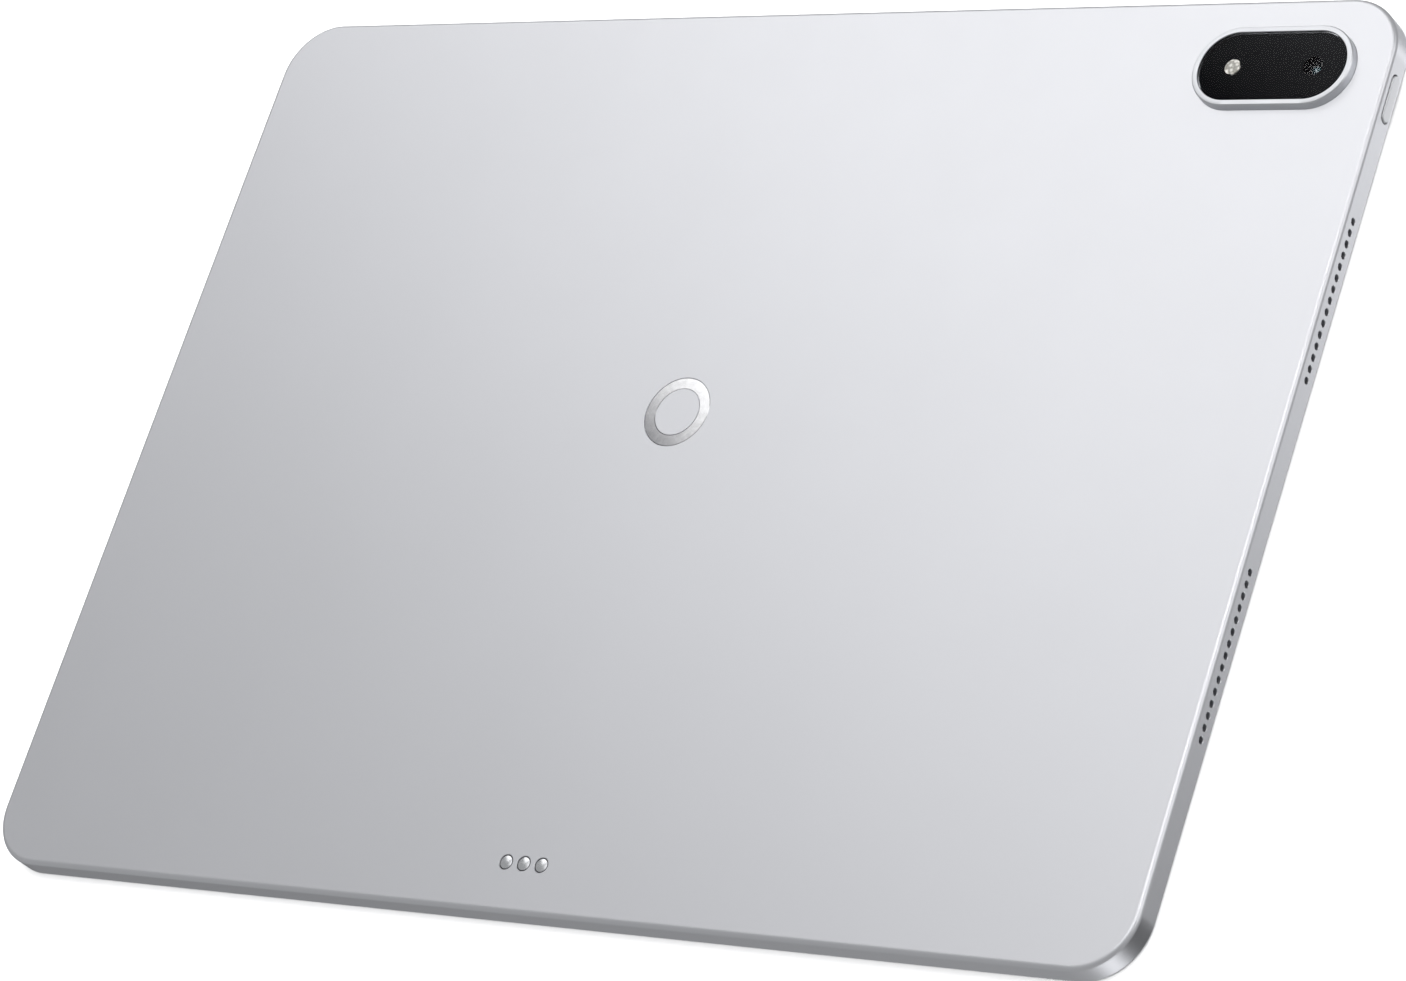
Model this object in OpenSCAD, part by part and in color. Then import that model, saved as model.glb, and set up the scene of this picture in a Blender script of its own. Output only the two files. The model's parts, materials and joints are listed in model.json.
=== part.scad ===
// Thin metal-backed tablet computer, lying on its display with its back up.
// Origin: centre of the display face. +X along the long side towards the power button,
// +Y along the short side towards the volume rocker, +Z out of the back. Millimetres.

/* [Body] */
// Length of the long side
body_w = 289.6; // [286:0.1:296]
// Length of the short side
body_h = 209.7; // [206:0.1:216]
// Thickness from the display glass to the back
body_t = 5.97; // [5.9:0.01:6.4]
// Corner radius seen from the back
corner_r = 12.8; // [12.4:0.1:15]
// Rounding between the back and the side band
back_edge_r = 1.1; // [1:0.1:1.6]
// Rounding between the side band and the front rim
front_edge_r = 0.6; // [0.3:0.05:0.65]
// Thickness of the side wall
side_wall = 2.8; // [2.7:0.05:3]
// Thickness of the back wall
back_wall = 0.8; // [0.7:0.05:0.9]

/* [Display] */
// Width of the metal rim that shows around the glass
rim_w = 0.8; // [0.7:0.05:1]
// Height of the glass face above the metal rim
glass_proud = 0.12; // [0.05:0.01:0.2]
// Thickness of the cover glass
glass_t = 0.6; // [0.5:0.05:0.65]
// Length of the lit area
lit_w = 273.7; // [270:0.1:274]
// Height of the lit area
lit_h = 193.7; // [190:0.1:194]
// Thickness of the liquid-crystal panel
panel_t = 0.5; // [0.4:0.05:0.55]
// Thickness of the backlight
backlight_t = 1.1; // [0.9:0.05:1.1]

/* [Camera island] */
// Distance of the island's centre from the power button side
island_from_side = 25.7; // [24:0.1:28]
// Distance of the island's centre from the volume rocker side
island_from_top = 16.45; // [16:0.05:18]
// Length of the island
island_l = 36.3; // [35:0.1:38]
// Width of the island
island_w = 18.2; // [18:0.1:19]
// Height of the island above the back
island_h = 2; // [1.6:0.1:2.4]
// Width of the metal that shows around the island's window
ring_w = 1.25; // [1.1:0.05:1.4]
// Distance between the flash and the camera
eye_pitch = 18.4; // [17.5:0.1:19]
// Diameter of the camera's clear aperture
aperture_d = 4.5; // [4:0.1:5]
// Diameter of the flash diffuser
flash_d = 3.5; // [3:0.1:4]

/* [Keys] */
// Length of the power button
power_l = 10.5; // [9:0.1:12.5]
// Distance of the power button's centre from the volume rocker side
power_from_top = 21.5; // [20:0.1:24]
// Length of the volume rocker
rocker_l = 24; // [22:0.1:26]
// Distance of the rocker's centre from the power button side
rocker_from_side = 37; // [32:0.5:40]
// Width of both keys across the side band
key_w = 2.6; // [2.2:0.1:2.7]
// Height of the key faces above the side band
key_proud = 0.25; // [0.15:0.01:0.35]
// Travel of the power button
key_travel = 0.25; // [0.15:0.01:0.25]
// Gap all round between a key and its slot
key_gap = 0.15; // [0.1:0.01:0.2]

/* [Side openings] */
// Diameter of one sound hole
sound_hole_d = 1.5; // [1.2:0.1:1.7]
// Pitch of the sound holes
sound_pitch = 2.5; // [2.3:0.1:2.5]
// Number of sound holes in a row
sound_count = 15; // [11:1:15]
// Distance of a row's middle from the centre line
sound_offset = 38.1; // [37:0.1:39]
// Diameter of a microphone hole
mic_hole_d = 0.9; // [0.7:0.1:1.1]

/* [Back contacts] */
// Diameter of a keyboard contact
contact_d = 2.9; // [2.4:0.1:3]
// Pitch of the keyboard contacts
contact_pitch = 4.5; // [4.2:0.1:4.8]
// Distance of the contacts from the keyboard edge
contact_from_edge = 10.75; // [10:0.05:12]

/* [Emblem] */
// Outer diameter of the plain ring inlay
emblem_d = 16; // [12:0.5:20]
// Width of the inlay's band
emblem_band = 2.6; // [1.5:0.1:3]
// Distance of the inlay's centre above the middle
emblem_up = 8.3; // [-10:0.1:10]

/* [Hidden] */

$fn = 64;
overcut = 0.5;

half_w = body_w / 2;
half_h = body_h / 2;

// Levels, counted from the display face
seal_t = 0.15;
ledge_z = glass_t + seal_t;
panel_z = glass_t;
backlight_z = panel_z + panel_t;
backlight_top = backlight_z + backlight_t;
flex_t = 0.12;
flex_lift = 0.06;
bay_gap = 0.12;
flex_z = backlight_top + flex_lift;
bay_z = flex_z + flex_t + bay_gap;
roof_z = body_t - back_wall;
roof_gap = 0.17;
bay_top = roof_z - roof_gap;
board_t = 0.7;
board_z = 3;
board_top = board_z + board_t;
shield_t = 1;
pad_t = 0.2;
sheet_t = 0.1;

// Inside outline
cavity_w = body_w - 2 * side_wall;
cavity_h = body_h - 2 * side_wall;
cavity_r = corner_r - side_wall;
inner_x = cavity_w / 2;
inner_y = cavity_h / 2;
glass_gap = 0.1;
recess_w = body_w - 2 * rim_w;
recess_h = body_h - 2 * rim_w;
recess_r = corner_r - rim_w;
panel_border = 0.85;
panel_w = lit_w + 2 * panel_border;
panel_h = lit_h + 2 * panel_border;
panel_r = 2;
display_board_inset = 5;
display_board_y = -panel_h / 2 + display_board_inset;

// Camera island
island_x = half_w - island_from_side;
island_y = half_h - island_from_top;
island_top = body_t + island_h;
ring_sink = 0.3;
ring_gap = 0.05;
window_t = 0.6;
window_sink = 0.1;
window_z = island_top - window_sink - window_t;
mask_t = 0.08;
mask_z = window_z - mask_t;
window_l = island_l - 2 * ring_w;
window_w = island_w - 2 * ring_w;
window_gap = 0.05;
window_ledge = 1.2;
throat_l = window_l - 2 * window_ledge;
throat_w = window_w - 2 * window_ledge;
camera_x = island_x + eye_pitch / 2;
flash_x = island_x - eye_pitch / 2;
camera_side = 8.6;
camera_z = 2.7;
camera_base_t = 2.7;
barrel_d = 6.6;
barrel_gap = 0.1;
barrel_top = mask_z - barrel_gap;
barrel_floor = 0.5;
lens_margin = 0.3;
lens_bore_d = aperture_d + 2 * lens_margin;

// Keys, measured inwards from the side band
key_z = 2.5;
key_wall = 1.4;
power_y = half_h - power_from_top;
rocker_x = half_w - rocker_from_side;
ear_reach = 1.2;
ear_gap = 0.3;
ear_t = 0.5;
ear_inset = 0.1;
ear_w = key_w - 2 * ear_inset;
stem_t = 0.35;
stem_side = 1.4;
rocker_stem_extra = 0.12;
stem_depth = key_wall + ear_gap + ear_t + stem_t;
dome_t = 0.2;
dome_d = 1.3;
dome_gap = 0.05;
dome_depth = stem_depth + key_travel + dome_gap;
switch_l = 3.5;
switch_w = 1.9;
switch_t = 0.8;
switch_depth = dome_depth + dome_t;
key_flex_depth = switch_depth + switch_t;
bracket_t = 0.3;
bracket_depth = key_flex_depth + flex_t;
rocker_switch_offset = 7.5;
key_flex_gap = 0.1;
key_flex_z = key_z + key_w / 2 + key_flex_gap;
pivot_d = 0.8;
pivot_rise = 0.05;
pivot_depth = stem_depth - pivot_rise;

// Side openings
sound_z = 2.9;
snout_margin = 1;
snout_l = (sound_count - 1) * sound_pitch + sound_hole_d + 2 * snout_margin;
snout_depth = 3.6;
mesh_t = 0.15;
speaker_clear = 0.2;
speaker_w = 22;
speaker_l = 58;
speaker_wall = 0.4;
woofer_l = 20;
woofer_w = 13;
woofer_r = 3;
tweeter_l = 12;
tweeter_w = 9;
tweeter_r = 2;
driver_fit = 0.05;
driver_sink = 1.2;
mic_z = 3.2;
mic_spots = [[-40, 1], [40, 1]];
mic_l = 3.5;
mic_w = 2.6;
mic_t = 1;
boot_t = 1.2;

// Charging and data socket
usb_z = 2.9;
usb_l = 8.94;
usb_w = 3.16;
usb_wall = 0.3;
usb_sink = 0.25;
usb_depth = 6.4;
usb_fit = 0.05;
tongue_l = 6.69;
tongue_t = 0.7;
tongue_reach = 4.6;
usb_board_l = 20;
usb_board_w = 21;
usb_board_t = 0.6;
usb_board_z = 2.6;
usb_back_x = -half_w + usb_sink + usb_depth;

// Keyboard contacts
contact_y = -half_h + contact_from_edge;
contact_gap = 0.2;
contact_dome_r = 8;
contact_sink = 0.05;
contact_rim_z = body_t - contact_sink;
contact_head_t = 0.9;
contact_stem_d = 1.4;
contact_spots = [-contact_pitch, 0, contact_pitch];
carrier_margin = 1.5;
carrier_l = 2 * contact_pitch + contact_d + 2 * carrier_margin;
carrier_w = 5.4;
carrier_t = 1.1;
carrier_z = roof_z - carrier_t;

// Emblem
emblem_t = 0.2;
emblem_gap = 0.05;
emblem_sink = 0.02;

// Battery bay
battery_l = 100;
battery_gap = 2;
battery_low_y = -88;
battery_high_y = 78;
battery_w = battery_high_y - battery_low_y;
battery_x = -11;
battery_y = (battery_high_y + battery_low_y) / 2;
battery_r = 3;
battery_board_l = 120;
battery_board_w = 5;
battery_board_gap = 0.4;

// Main board, an upright column with a head under the island
board_x0 = 94;
board_x1 = 115;
board_y0 = -58;
board_y1 = 73;
head_reach = 17;
head_margin = 7.5;
head_x1 = island_x + head_reach;
head_y1 = half_h - head_margin;
board_cut_gap = 0.5;
board_cut = camera_side + 2 * board_cut_gap;
screw_d = 1.3;
screw_hole_d = 1.6;
screw_bore_d = 1.4;
screw_head_d = 2.6;
screw_head_t = 0.4;
screw_l = 2;
screw_tip_gap = 0.1;
boss_d = 3;
screw_inset = 2.6;
board_screw_spots = [
    [board_x0 + screw_inset, board_y0 + screw_inset],
    [board_x1 - screw_inset, board_y0 + screw_inset],
    [board_x0 + screw_inset, 0],
    [board_x0 + screw_inset, head_y1 - screw_inset],
    [board_x0 + screw_inset, board_y1 - screw_inset],
    [board_x1 - screw_inset, board_y1 - screw_inset]
];
usb_screw_spots = [
    [usb_back_x + usb_board_l - screw_inset, usb_board_w / 2 - screw_inset],
    [usb_back_x + usb_board_l - screw_inset, -usb_board_w / 2 + screw_inset]
];
speaker_x = inner_x - speaker_clear - snout_depth - speaker_w / 2;
speaker_shift = 3;
speaker_y = sound_offset + speaker_shift;
speaker_screw_y = speaker_y + speaker_l / 2 - screw_inset;
speaker_screw_x = speaker_x - speaker_w / 2 + screw_inset;
tab_t = 0.8;
speaker_seat_z = bay_z + screw_head_t;

// Front sensors, in the border between the panel and the wall
border_y = (panel_h / 2 + inner_y) / 2;
border_x = (panel_w / 2 + inner_x) / 2;
front_camera_side = 3.6;
front_camera_t = 2.9;
front_lens_d = 2.2;
sensor_x = 12;
sensor_side = 2.4;
sensor_t = 1;
antenna_l = 34;
antenna_w = 3;
antenna_t = 1.3;
antenna_z = 0.9;
upper_antennas = [-105, 60];
lower_antennas = [-105, 105];

// Magnets
magnet_l = 9;
magnet_w = 2.8;
magnet_t = 2;
magnet_gap = 0.4;
stylus_x = -76;
stylus_coil_l = 24;
stylus_spots = [for (step = [-28, -18, 18, 28]) stylus_x + step];
cover_spots = [[-1, 80], [-1, -80], [1, -80]];
keyboard_spots = [-58, -46, -34, 34, 46, 58];

// ---------- shared shapes ----------

module stadium(length, width) {
    square([length - width, width], center = true);
    for (side = [-1, 1])
        translate([side * (length - width) / 2, 0])
            circle(d = width);
}

module rounded_outline(length, width, radius) {
    square([length - 2 * radius, width], center = true);
    square([length, width - 2 * radius], center = true);
    for (sx = [-1, 1], sy = [-1, 1])
        translate([sx * (length / 2 - radius), sy * (width / 2 - radius)])
            circle(r = radius);
}

module plate(length, width, radius, thick) {
    linear_extrude(thick)
        rounded_outline(length, width, radius);
}

// Half section of a plate's edge: reach outwards, thickness upwards, both corners rounded
module edge_section(reach, thick, top_r, low_r) {
    translate([0, low_r])
        square([reach, thick - low_r - top_r]);
    square([reach - low_r, thick - top_r]);
    translate([0, low_r])
        square([reach - top_r, thick - low_r]);
    translate([reach - top_r, thick - top_r])
        circle(r = top_r);
    translate([reach - low_r, low_r])
        circle(r = low_r);
}

// A rounded plate whose top and bottom edges are rounded too
module soft_plate(length, width, radius, thick, top_r, low_r) {
    run_x = length - 2 * radius;
    run_y = width - 2 * radius;
    for (turn = [0, 1, 2, 3]) {
        even = turn % 2 == 0;
        run = even ? run_x : run_y;
        out = even ? run_y / 2 : run_x / 2;
        rotate([0, 0, 90 * turn]) {
            translate([run / 2, out, 0])
                rotate_extrude(angle = 90)
                    edge_section(radius, thick, top_r, low_r);
            if (run > 0)
                translate([-run / 2, out, 0])
                    rotate([90, 0, 90])
                        linear_extrude(run)
                            edge_section(radius, thick, top_r, low_r);
        }
    }
    if (run_x > 0 && run_y > 0)
        translate([-run_x / 2, -run_y / 2, 0])
            cube([run_x, run_y, thick]);
}

module block(size, middle) {
    translate([middle[0] - size[0] / 2, middle[1] - size[1] / 2, middle[2]])
        cube(size);
}

// Turns a shape drawn flat so that its top faces +X at a depth inside the right-hand side
module on_right(depth, y, z) {
    translate([half_w - depth, y, z])
        rotate([90, 0, 90])
            children();
}

// The same for the long side that faces +Y
module on_top(depth, x, z) {
    translate([x, half_h - depth, z])
        rotate([-90, 180, 0])
            children();
}

// ---------- housing ----------

module key_slot(length) {
    translate([0, 0, -key_wall])
        linear_extrude(key_wall + overcut)
            stadium(length + 2 * key_gap, key_w + 2 * key_gap);
    translate([0, 0, -side_wall - overcut])
        linear_extrude(side_wall + overcut - key_wall)
            square([length + 2 * ear_reach + 4 * key_gap, key_w + 2 * key_gap], center = true);
}

module sound_holes() {
    for (side = [-1, 1], row = [-1, 1], i = [0:sound_count - 1])
        translate([
            side * (half_w - side_wall / 2),
            row * sound_offset + (i - (sound_count - 1) / 2) * sound_pitch,
            sound_z
        ])
            rotate([0, 90, 0])
                cylinder(d = sound_hole_d, h = side_wall + 2 * overcut, center = true);
}

module mic_holes() {
    for (spot = mic_spots)
        translate([spot[0], spot[1] * (half_h - side_wall / 2), mic_z])
            rotate([90, 0, 0])
                cylinder(d = mic_hole_d, h = side_wall + 2 * overcut, center = true);
}

module usb_hole() {
    translate([-half_w - overcut, 0, usb_z])
        rotate([90, 0, 90])
            linear_extrude(side_wall + 2 * overcut)
                stadium(usb_l + 2 * usb_fit, usb_w + 2 * usb_fit);
}

module boss(spot, low) {
    translate([spot[0], spot[1], low])
        cylinder(d = boss_d, h = roof_z - low + overcut / 2);
}

module boss_bore(spot, low, seat) {
    translate([spot[0], spot[1], low - overcut])
        cylinder(d = screw_bore_d, h = overcut + seat + screw_l + screw_tip_gap - low);
}

function speaker_spot(sx, sy) = [sx * speaker_screw_x, sy * speaker_screw_y];
speaker_screw_spots = [for (sx = [-1, 1], sy = [-1, 1]) speaker_spot(sx, sy)];
usb_board_top = usb_board_z + usb_board_t;
speaker_tab_top = bay_z + tab_t;

module rear_housing() {
    color("#d9dbde")
    difference() {
        union() {
            difference() {
                translate([0, 0, glass_proud])
                    soft_plate(body_w, body_h, corner_r, body_t - glass_proud, back_edge_r, front_edge_r);
                translate([0, 0, -overcut])
                    plate(recess_w, recess_h, recess_r, ledge_z + overcut);
                translate([0, 0, -overcut])
                    plate(cavity_w, cavity_h, cavity_r, roof_z + overcut);
            }
            for (spot = board_screw_spots)
                boss(spot, board_top);
            for (spot = usb_screw_spots)
                boss(spot, usb_board_top);
            for (spot = speaker_screw_spots)
                boss(spot, speaker_tab_top);
        }
        for (spot = board_screw_spots)
            boss_bore(spot, board_top, board_z);
        for (spot = usb_screw_spots)
            boss_bore(spot, usb_board_top, usb_board_z);
        for (spot = speaker_screw_spots)
            boss_bore(spot, speaker_tab_top, speaker_seat_z);
        on_right(0, power_y, key_z)
            key_slot(power_l);
        on_top(0, rocker_x, key_z)
            key_slot(rocker_l);
        sound_holes();
        mic_holes();
        usb_hole();
        // seat and throat of the camera island
        translate([island_x, island_y, body_t - ring_sink])
            linear_extrude(ring_sink + overcut)
                stadium(island_l + 2 * ring_gap, island_w + 2 * ring_gap);
        translate([island_x, island_y, roof_z - overcut])
            linear_extrude(back_wall + 2 * overcut)
                stadium(throat_l, throat_w);
        // seats of the contacts and of the emblem
        for (x = contact_spots)
            translate([x, contact_y, roof_z - overcut])
                cylinder(d = contact_d + 2 * contact_gap, h = back_wall + 2 * overcut);
        translate([0, emblem_up, body_t - emblem_t])
            difference() {
                cylinder(d = emblem_d + 2 * emblem_gap, h = emblem_t + overcut);
                translate([0, 0, -overcut])
                    cylinder(d = emblem_d - 2 * emblem_band - 2 * emblem_gap, h = emblem_t + 3 * overcut);
            }
    }
}

module emblem_inlay() {
    color("#eceef0")
    translate([0, emblem_up, body_t - emblem_t])
        difference() {
            cylinder(d = emblem_d, h = emblem_t - emblem_sink);
            translate([0, 0, -overcut])
                cylinder(d = emblem_d - 2 * emblem_band, h = emblem_t + 2 * overcut);
        }
}

// ---------- display ----------

module cover_glass() {
    edge = 0.25;
    length = recess_w - 2 * glass_gap;
    width = recess_h - 2 * glass_gap;
    color("#101114")
    soft_plate(length, width, recess_r - glass_gap, glass_t, edge, edge);
}

module display_gasket() {
    seal_w = 1.6;
    color("#1a1a1c")
    translate([0, 0, glass_t])
        difference() {
            plate(recess_w - 4 * glass_gap, recess_h - 4 * glass_gap, recess_r - 2 * glass_gap, seal_t);
            translate([0, 0, -overcut])
                plate(
                    recess_w - 4 * glass_gap - 2 * seal_w,
                    recess_h - 4 * glass_gap - 2 * seal_w,
                    recess_r - 2 * glass_gap - seal_w,
                    seal_t + 2 * overcut
                );
        }
}

module display_panel() {
    color("#16202c")
    translate([0, 0, panel_z])
        plate(panel_w, panel_h, panel_r, panel_t);
}

module backlight() {
    tray_inset = 0.3;
    color("#f2f2ee")
    translate([0, 0, backlight_z])
        plate(panel_w - 2 * tray_inset, panel_h - 2 * tray_inset, panel_r, backlight_t);
}

module display_board() {
    strip = [120, 5, 0.4];
    chip = [6, 3, 0.5];
    chip_pitch = 15;
    color("#1d5a3a")
    union() {
        block(strip, [0, display_board_y, flex_z]);
        for (i = [-3:3])
            block(chip, [i * chip_pitch, display_board_y, flex_z + strip[2]]);
    }
}

module display_flex() {
    start_x = 61;
    run_w = 6;
    lane_w = 12;
    plug_l = 10;
    plug_w = 4;
    plug_inset = 3;
    lane_inset = 10;
    tip_reach = 8;
    low_y = display_board_y - run_w / 2;
    lane_x = board_x0 + lane_inset;
    tip_y = board_y0 + tip_reach;
    color("#b8692a")
    union() {
        translate([start_x, low_y, flex_z])
            cube([lane_x + lane_w / 2 - start_x, run_w, flex_t]);
        translate([lane_x - lane_w / 2, low_y, flex_z])
            cube([lane_w, tip_y - low_y, flex_t]);
        block([plug_l, plug_w, board_z - flex_z - flex_t], [lane_x, tip_y - plug_inset, flex_z + flex_t]);
    }
}

// ---------- camera island ----------

module camera_ring() {
    lip = 0.35;
    foot_r = 0.1;
    color("#e3e5e8")
    translate([island_x, island_y, body_t - ring_sink])
        difference() {
            soft_plate(island_l, island_w, island_w / 2, ring_sink + island_h, lip, foot_r);
            translate([0, 0, window_z - body_t + ring_sink - mask_t])
                linear_extrude(window_t + island_h)
                    stadium(window_l, window_w);
            translate([0, 0, -overcut])
                linear_extrude(island_h + 2 * overcut)
                    stadium(throat_l, throat_w);
        }
}

module camera_window() {
    edge = 0.15;
    color("#0c0d10")
    difference() {
        translate([island_x, island_y, window_z])
            soft_plate(
                window_l - 2 * window_gap, window_w - 2 * window_gap,
                window_w / 2 - window_gap, window_t, edge, edge
            );
        translate([flash_x, island_y, window_z - overcut])
            cylinder(d = flash_d + 2 * window_gap, h = window_t + 2 * overcut);
    }
}

module camera_mask() {
    color("#050506")
    difference() {
        translate([island_x, island_y, mask_z])
            linear_extrude(mask_t)
                stadium(window_l - 4 * window_gap, window_w - 4 * window_gap);
        translate([flash_x, island_y, mask_z - overcut])
            cylinder(d = flash_d + 2 * window_gap, h = mask_t + 2 * overcut);
        translate([camera_x, island_y, mask_z - overcut])
            cylinder(d = aperture_d, h = mask_t + 2 * overcut);
    }
}

module camera_module() {
    base_r = 0.8;
    color("#202226")
    difference() {
        union() {
            translate([camera_x, island_y, camera_z])
                plate(camera_side, camera_side, base_r, camera_base_t);
            translate([camera_x, island_y, camera_z + camera_base_t])
                cylinder(d = barrel_d, h = barrel_top - camera_z - camera_base_t);
        }
        translate([camera_x, island_y, camera_z + barrel_floor])
            cylinder(d = lens_bore_d, h = body_t + island_h);
    }
}

module camera_lens() {
    front_r = 4.2;
    lens_t = 0.9;
    spacer_t = 0.6;
    iris_d = 2;
    lens_fit = 0.03;
    lens_sink = 0.15;
    lens_d = lens_bore_d - 2 * lens_fit;
    top = barrel_top - lens_sink;
    low = camera_z + barrel_floor;
    color("#27384a")
    translate([camera_x, island_y, 0])
        union() {
            intersection() {
                translate([0, 0, top - lens_t])
                    cylinder(d = lens_d, h = lens_t);
                translate([0, 0, top - front_r])
                    sphere(r = front_r);
            }
            difference() {
                translate([0, 0, top - lens_t - spacer_t])
                    cylinder(d = lens_d, h = spacer_t);
                translate([0, 0, top - lens_t - spacer_t - overcut])
                    cylinder(d = iris_d, h = spacer_t + overcut);
            }
            translate([0, 0, low])
                cylinder(d = lens_d, h = top - lens_t - spacer_t - low);
        }
}

module flash_diffuser() {
    foot_t = 0.4;
    foot_reach = 0.5;
    foot_d = flash_d + 2 * foot_reach;
    dome_r = 6;
    color("#f4ecd8")
    translate([flash_x, island_y, 0])
        union() {
            translate([0, 0, mask_z - foot_t])
                cylinder(d = foot_d, h = foot_t);
            intersection() {
                translate([0, 0, mask_z - foot_t])
                    cylinder(d = flash_d, h = window_t + mask_t + foot_t + overcut);
                translate([0, 0, island_top - window_sink - dome_r])
                    sphere(r = dome_r);
            }
        }
}

module flash_board() {
    led_t = 0.4;
    led_side = 1.8;
    carrier_side = 6;
    carrier_thick = 0.3;
    led_gap = 0.6;
    riser_l = 2;
    riser_w = 4;
    led_z = mask_z - led_gap - led_t;
    low_z = led_z - carrier_thick;
    color("#20324a")
    union() {
        block([carrier_side, carrier_side, carrier_thick], [flash_x, island_y, low_z]);
        block([led_side, led_side, led_t], [flash_x, island_y, led_z]);
        block([riser_l, riser_w, low_z - board_top], [flash_x, island_y, board_top]);
    }
}

// ---------- keys ----------

// Key face up, with its underside at the given depths below the side band
module key_cap(length) {
    face_r = 0.3;
    back_r = 0.05;
    translate([0, 0, -key_wall - ear_gap])
        soft_plate(length, key_w, key_w / 2, key_wall + ear_gap + key_proud, face_r, back_r);
    translate([0, 0, -key_wall - ear_gap - ear_t])
        linear_extrude(ear_t)
            square([length + 2 * ear_reach, ear_w], center = true);
}

module stem(x, extra) {
    translate([x, 0, -stem_depth - extra])
        linear_extrude(stem_t + extra + ear_t)
            square(stem_side, center = true);
}

module dome_switch(x) {
    translate([x, 0, -dome_depth - dome_t])
        cylinder(d = dome_d, h = dome_t);
    translate([x, 0, -switch_depth - switch_t])
        linear_extrude(switch_t)
            square([switch_l, switch_w], center = true);
}

module key_bracket(length) {
    foot = 1.6;
    translate([0, 0, -bracket_depth - bracket_t])
        linear_extrude(bracket_t)
            square([length, key_w], center = true);
    for (side = [-1, 1])
        translate([side * (length - bracket_t) / 2, 0, -bracket_depth - bracket_t])
            linear_extrude(foot)
                square([bracket_t, key_w], center = true);
}

module power_button() {
    color("#cfd2d6")
    on_right(0, power_y, key_z)
        union() {
            key_cap(power_l);
            stem(0, 0);
        }
}

module power_switch() {
    color("#c9b27a")
    on_right(0, power_y, key_z)
        dome_switch(0);
}

module power_bracket() {
    color("#a8abb0")
    on_right(0, power_y, key_z)
        key_bracket(power_l + 2 * ear_reach);
}

module volume_rocker() {
    color("#cfd2d6")
    on_top(0, rocker_x, key_z)
        union() {
            key_cap(rocker_l);
            stem(-rocker_switch_offset, rocker_stem_extra);
            stem(rocker_switch_offset, rocker_stem_extra);
            translate([0, ear_w / 2, -pivot_depth])
                rotate([90, 0, 0])
                    cylinder(d = pivot_d, h = ear_w);
        }
}

module volume_switches() {
    color("#c9b27a")
    on_top(0, rocker_x, key_z)
        for (side = [-1, 1])
            dome_switch(side * rocker_switch_offset);
}

module volume_bracket() {
    post_gap = 0.1;
    post_l = 1.6;
    post_top = pivot_depth + pivot_d / 2 + post_gap;
    color("#a8abb0")
    on_top(0, rocker_x, key_z)
        union() {
            key_bracket(rocker_l + 2 * ear_reach);
            translate([0, 0, -bracket_depth - bracket_t])
                linear_extrude(bracket_depth + bracket_t - post_top)
                    square([post_l, ear_w], center = true);
        }
}

// A strip behind a switch, with a tab that climbs over the bracket's edge
module key_flex_strip(length) {
    strip_w = 1.8;
    tab_w = 6;
    linear_extrude(flex_t)
        square([length, strip_w], center = true);
    linear_extrude(flex_t)
        translate([-tab_w / 2, 0])
            square([tab_w, key_flex_z + flex_t - key_z]);
}

module side_key_flexes() {
    strip_depth = key_flex_depth + flex_t;
    lane_w = 6;
    landing = 3;
    plug_thin = 2;
    plug_l = 4;
    strip_inset = 1;
    rocker_lane_l = 2 * (rocker_switch_offset - strip_inset) + lane_w;
    color("#b8692a")
    union() {
        on_right(strip_depth, power_y, key_z)
            key_flex_strip(power_l - 2 * strip_inset);
        translate([head_x1 - landing, power_y - lane_w / 2, key_flex_z])
            cube([half_w - key_flex_depth - head_x1 + landing, lane_w, flex_t]);
        block([plug_thin, plug_l, key_flex_z - board_top], [head_x1 - landing / 2, power_y, board_top]);
        for (side = [-1, 1])
            on_top(strip_depth, rocker_x + side * rocker_switch_offset, key_z)
                key_flex_strip(rocker_switch_offset);
        translate([rocker_x - rocker_lane_l / 2, head_y1 - landing, key_flex_z])
            cube([rocker_lane_l, half_h - key_flex_depth - head_y1 + landing, flex_t]);
        block([lane_w, plug_thin, key_flex_z - board_top], [rocker_x, head_y1 - landing / 2, board_top]);
    }
}

// ---------- charging and data socket ----------

module usb_shell() {
    color("#8e9196")
    translate([-half_w + usb_sink, 0, usb_z])
        rotate([90, 0, 90])
            difference() {
                linear_extrude(usb_depth)
                    stadium(usb_l, usb_w);
                translate([0, 0, -overcut])
                    linear_extrude(usb_depth - usb_wall + overcut)
                        stadium(usb_l - 2 * usb_wall, usb_w - 2 * usb_wall);
            }
}

module usb_tongue() {
    base_t = 0.8;
    base_inset = 1.2 * usb_wall;
    color("#1b1c1f")
    translate([usb_back_x - usb_wall, 0, usb_z])
        rotate([90, 0, -90])
            union() {
                linear_extrude(tongue_reach)
                    square([tongue_l, tongue_t], center = true);
                linear_extrude(base_t)
                    stadium(usb_l - 2 * base_inset, usb_w - 2 * base_inset);
            }
}

module usb_board() {
    plug = [4, 6, 0.9];
    plug_x = 8;
    chip = [3, 3, 0.8];
    chip_spot = [13, 5];
    color("#1d5a3a")
    difference() {
        union() {
            translate([usb_back_x, -usb_board_w / 2, usb_board_z])
                cube([usb_board_l, usb_board_w, usb_board_t]);
            block(plug, [usb_back_x + plug_x, 0, usb_board_top]);
            block(chip, [usb_back_x + chip_spot[0], chip_spot[1], usb_board_top]);
        }
        for (spot = usb_screw_spots)
            translate([spot[0], spot[1], usb_board_z - overcut])
                cylinder(d = screw_hole_d, h = usb_board_t + 2 * overcut);
    }
}

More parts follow.
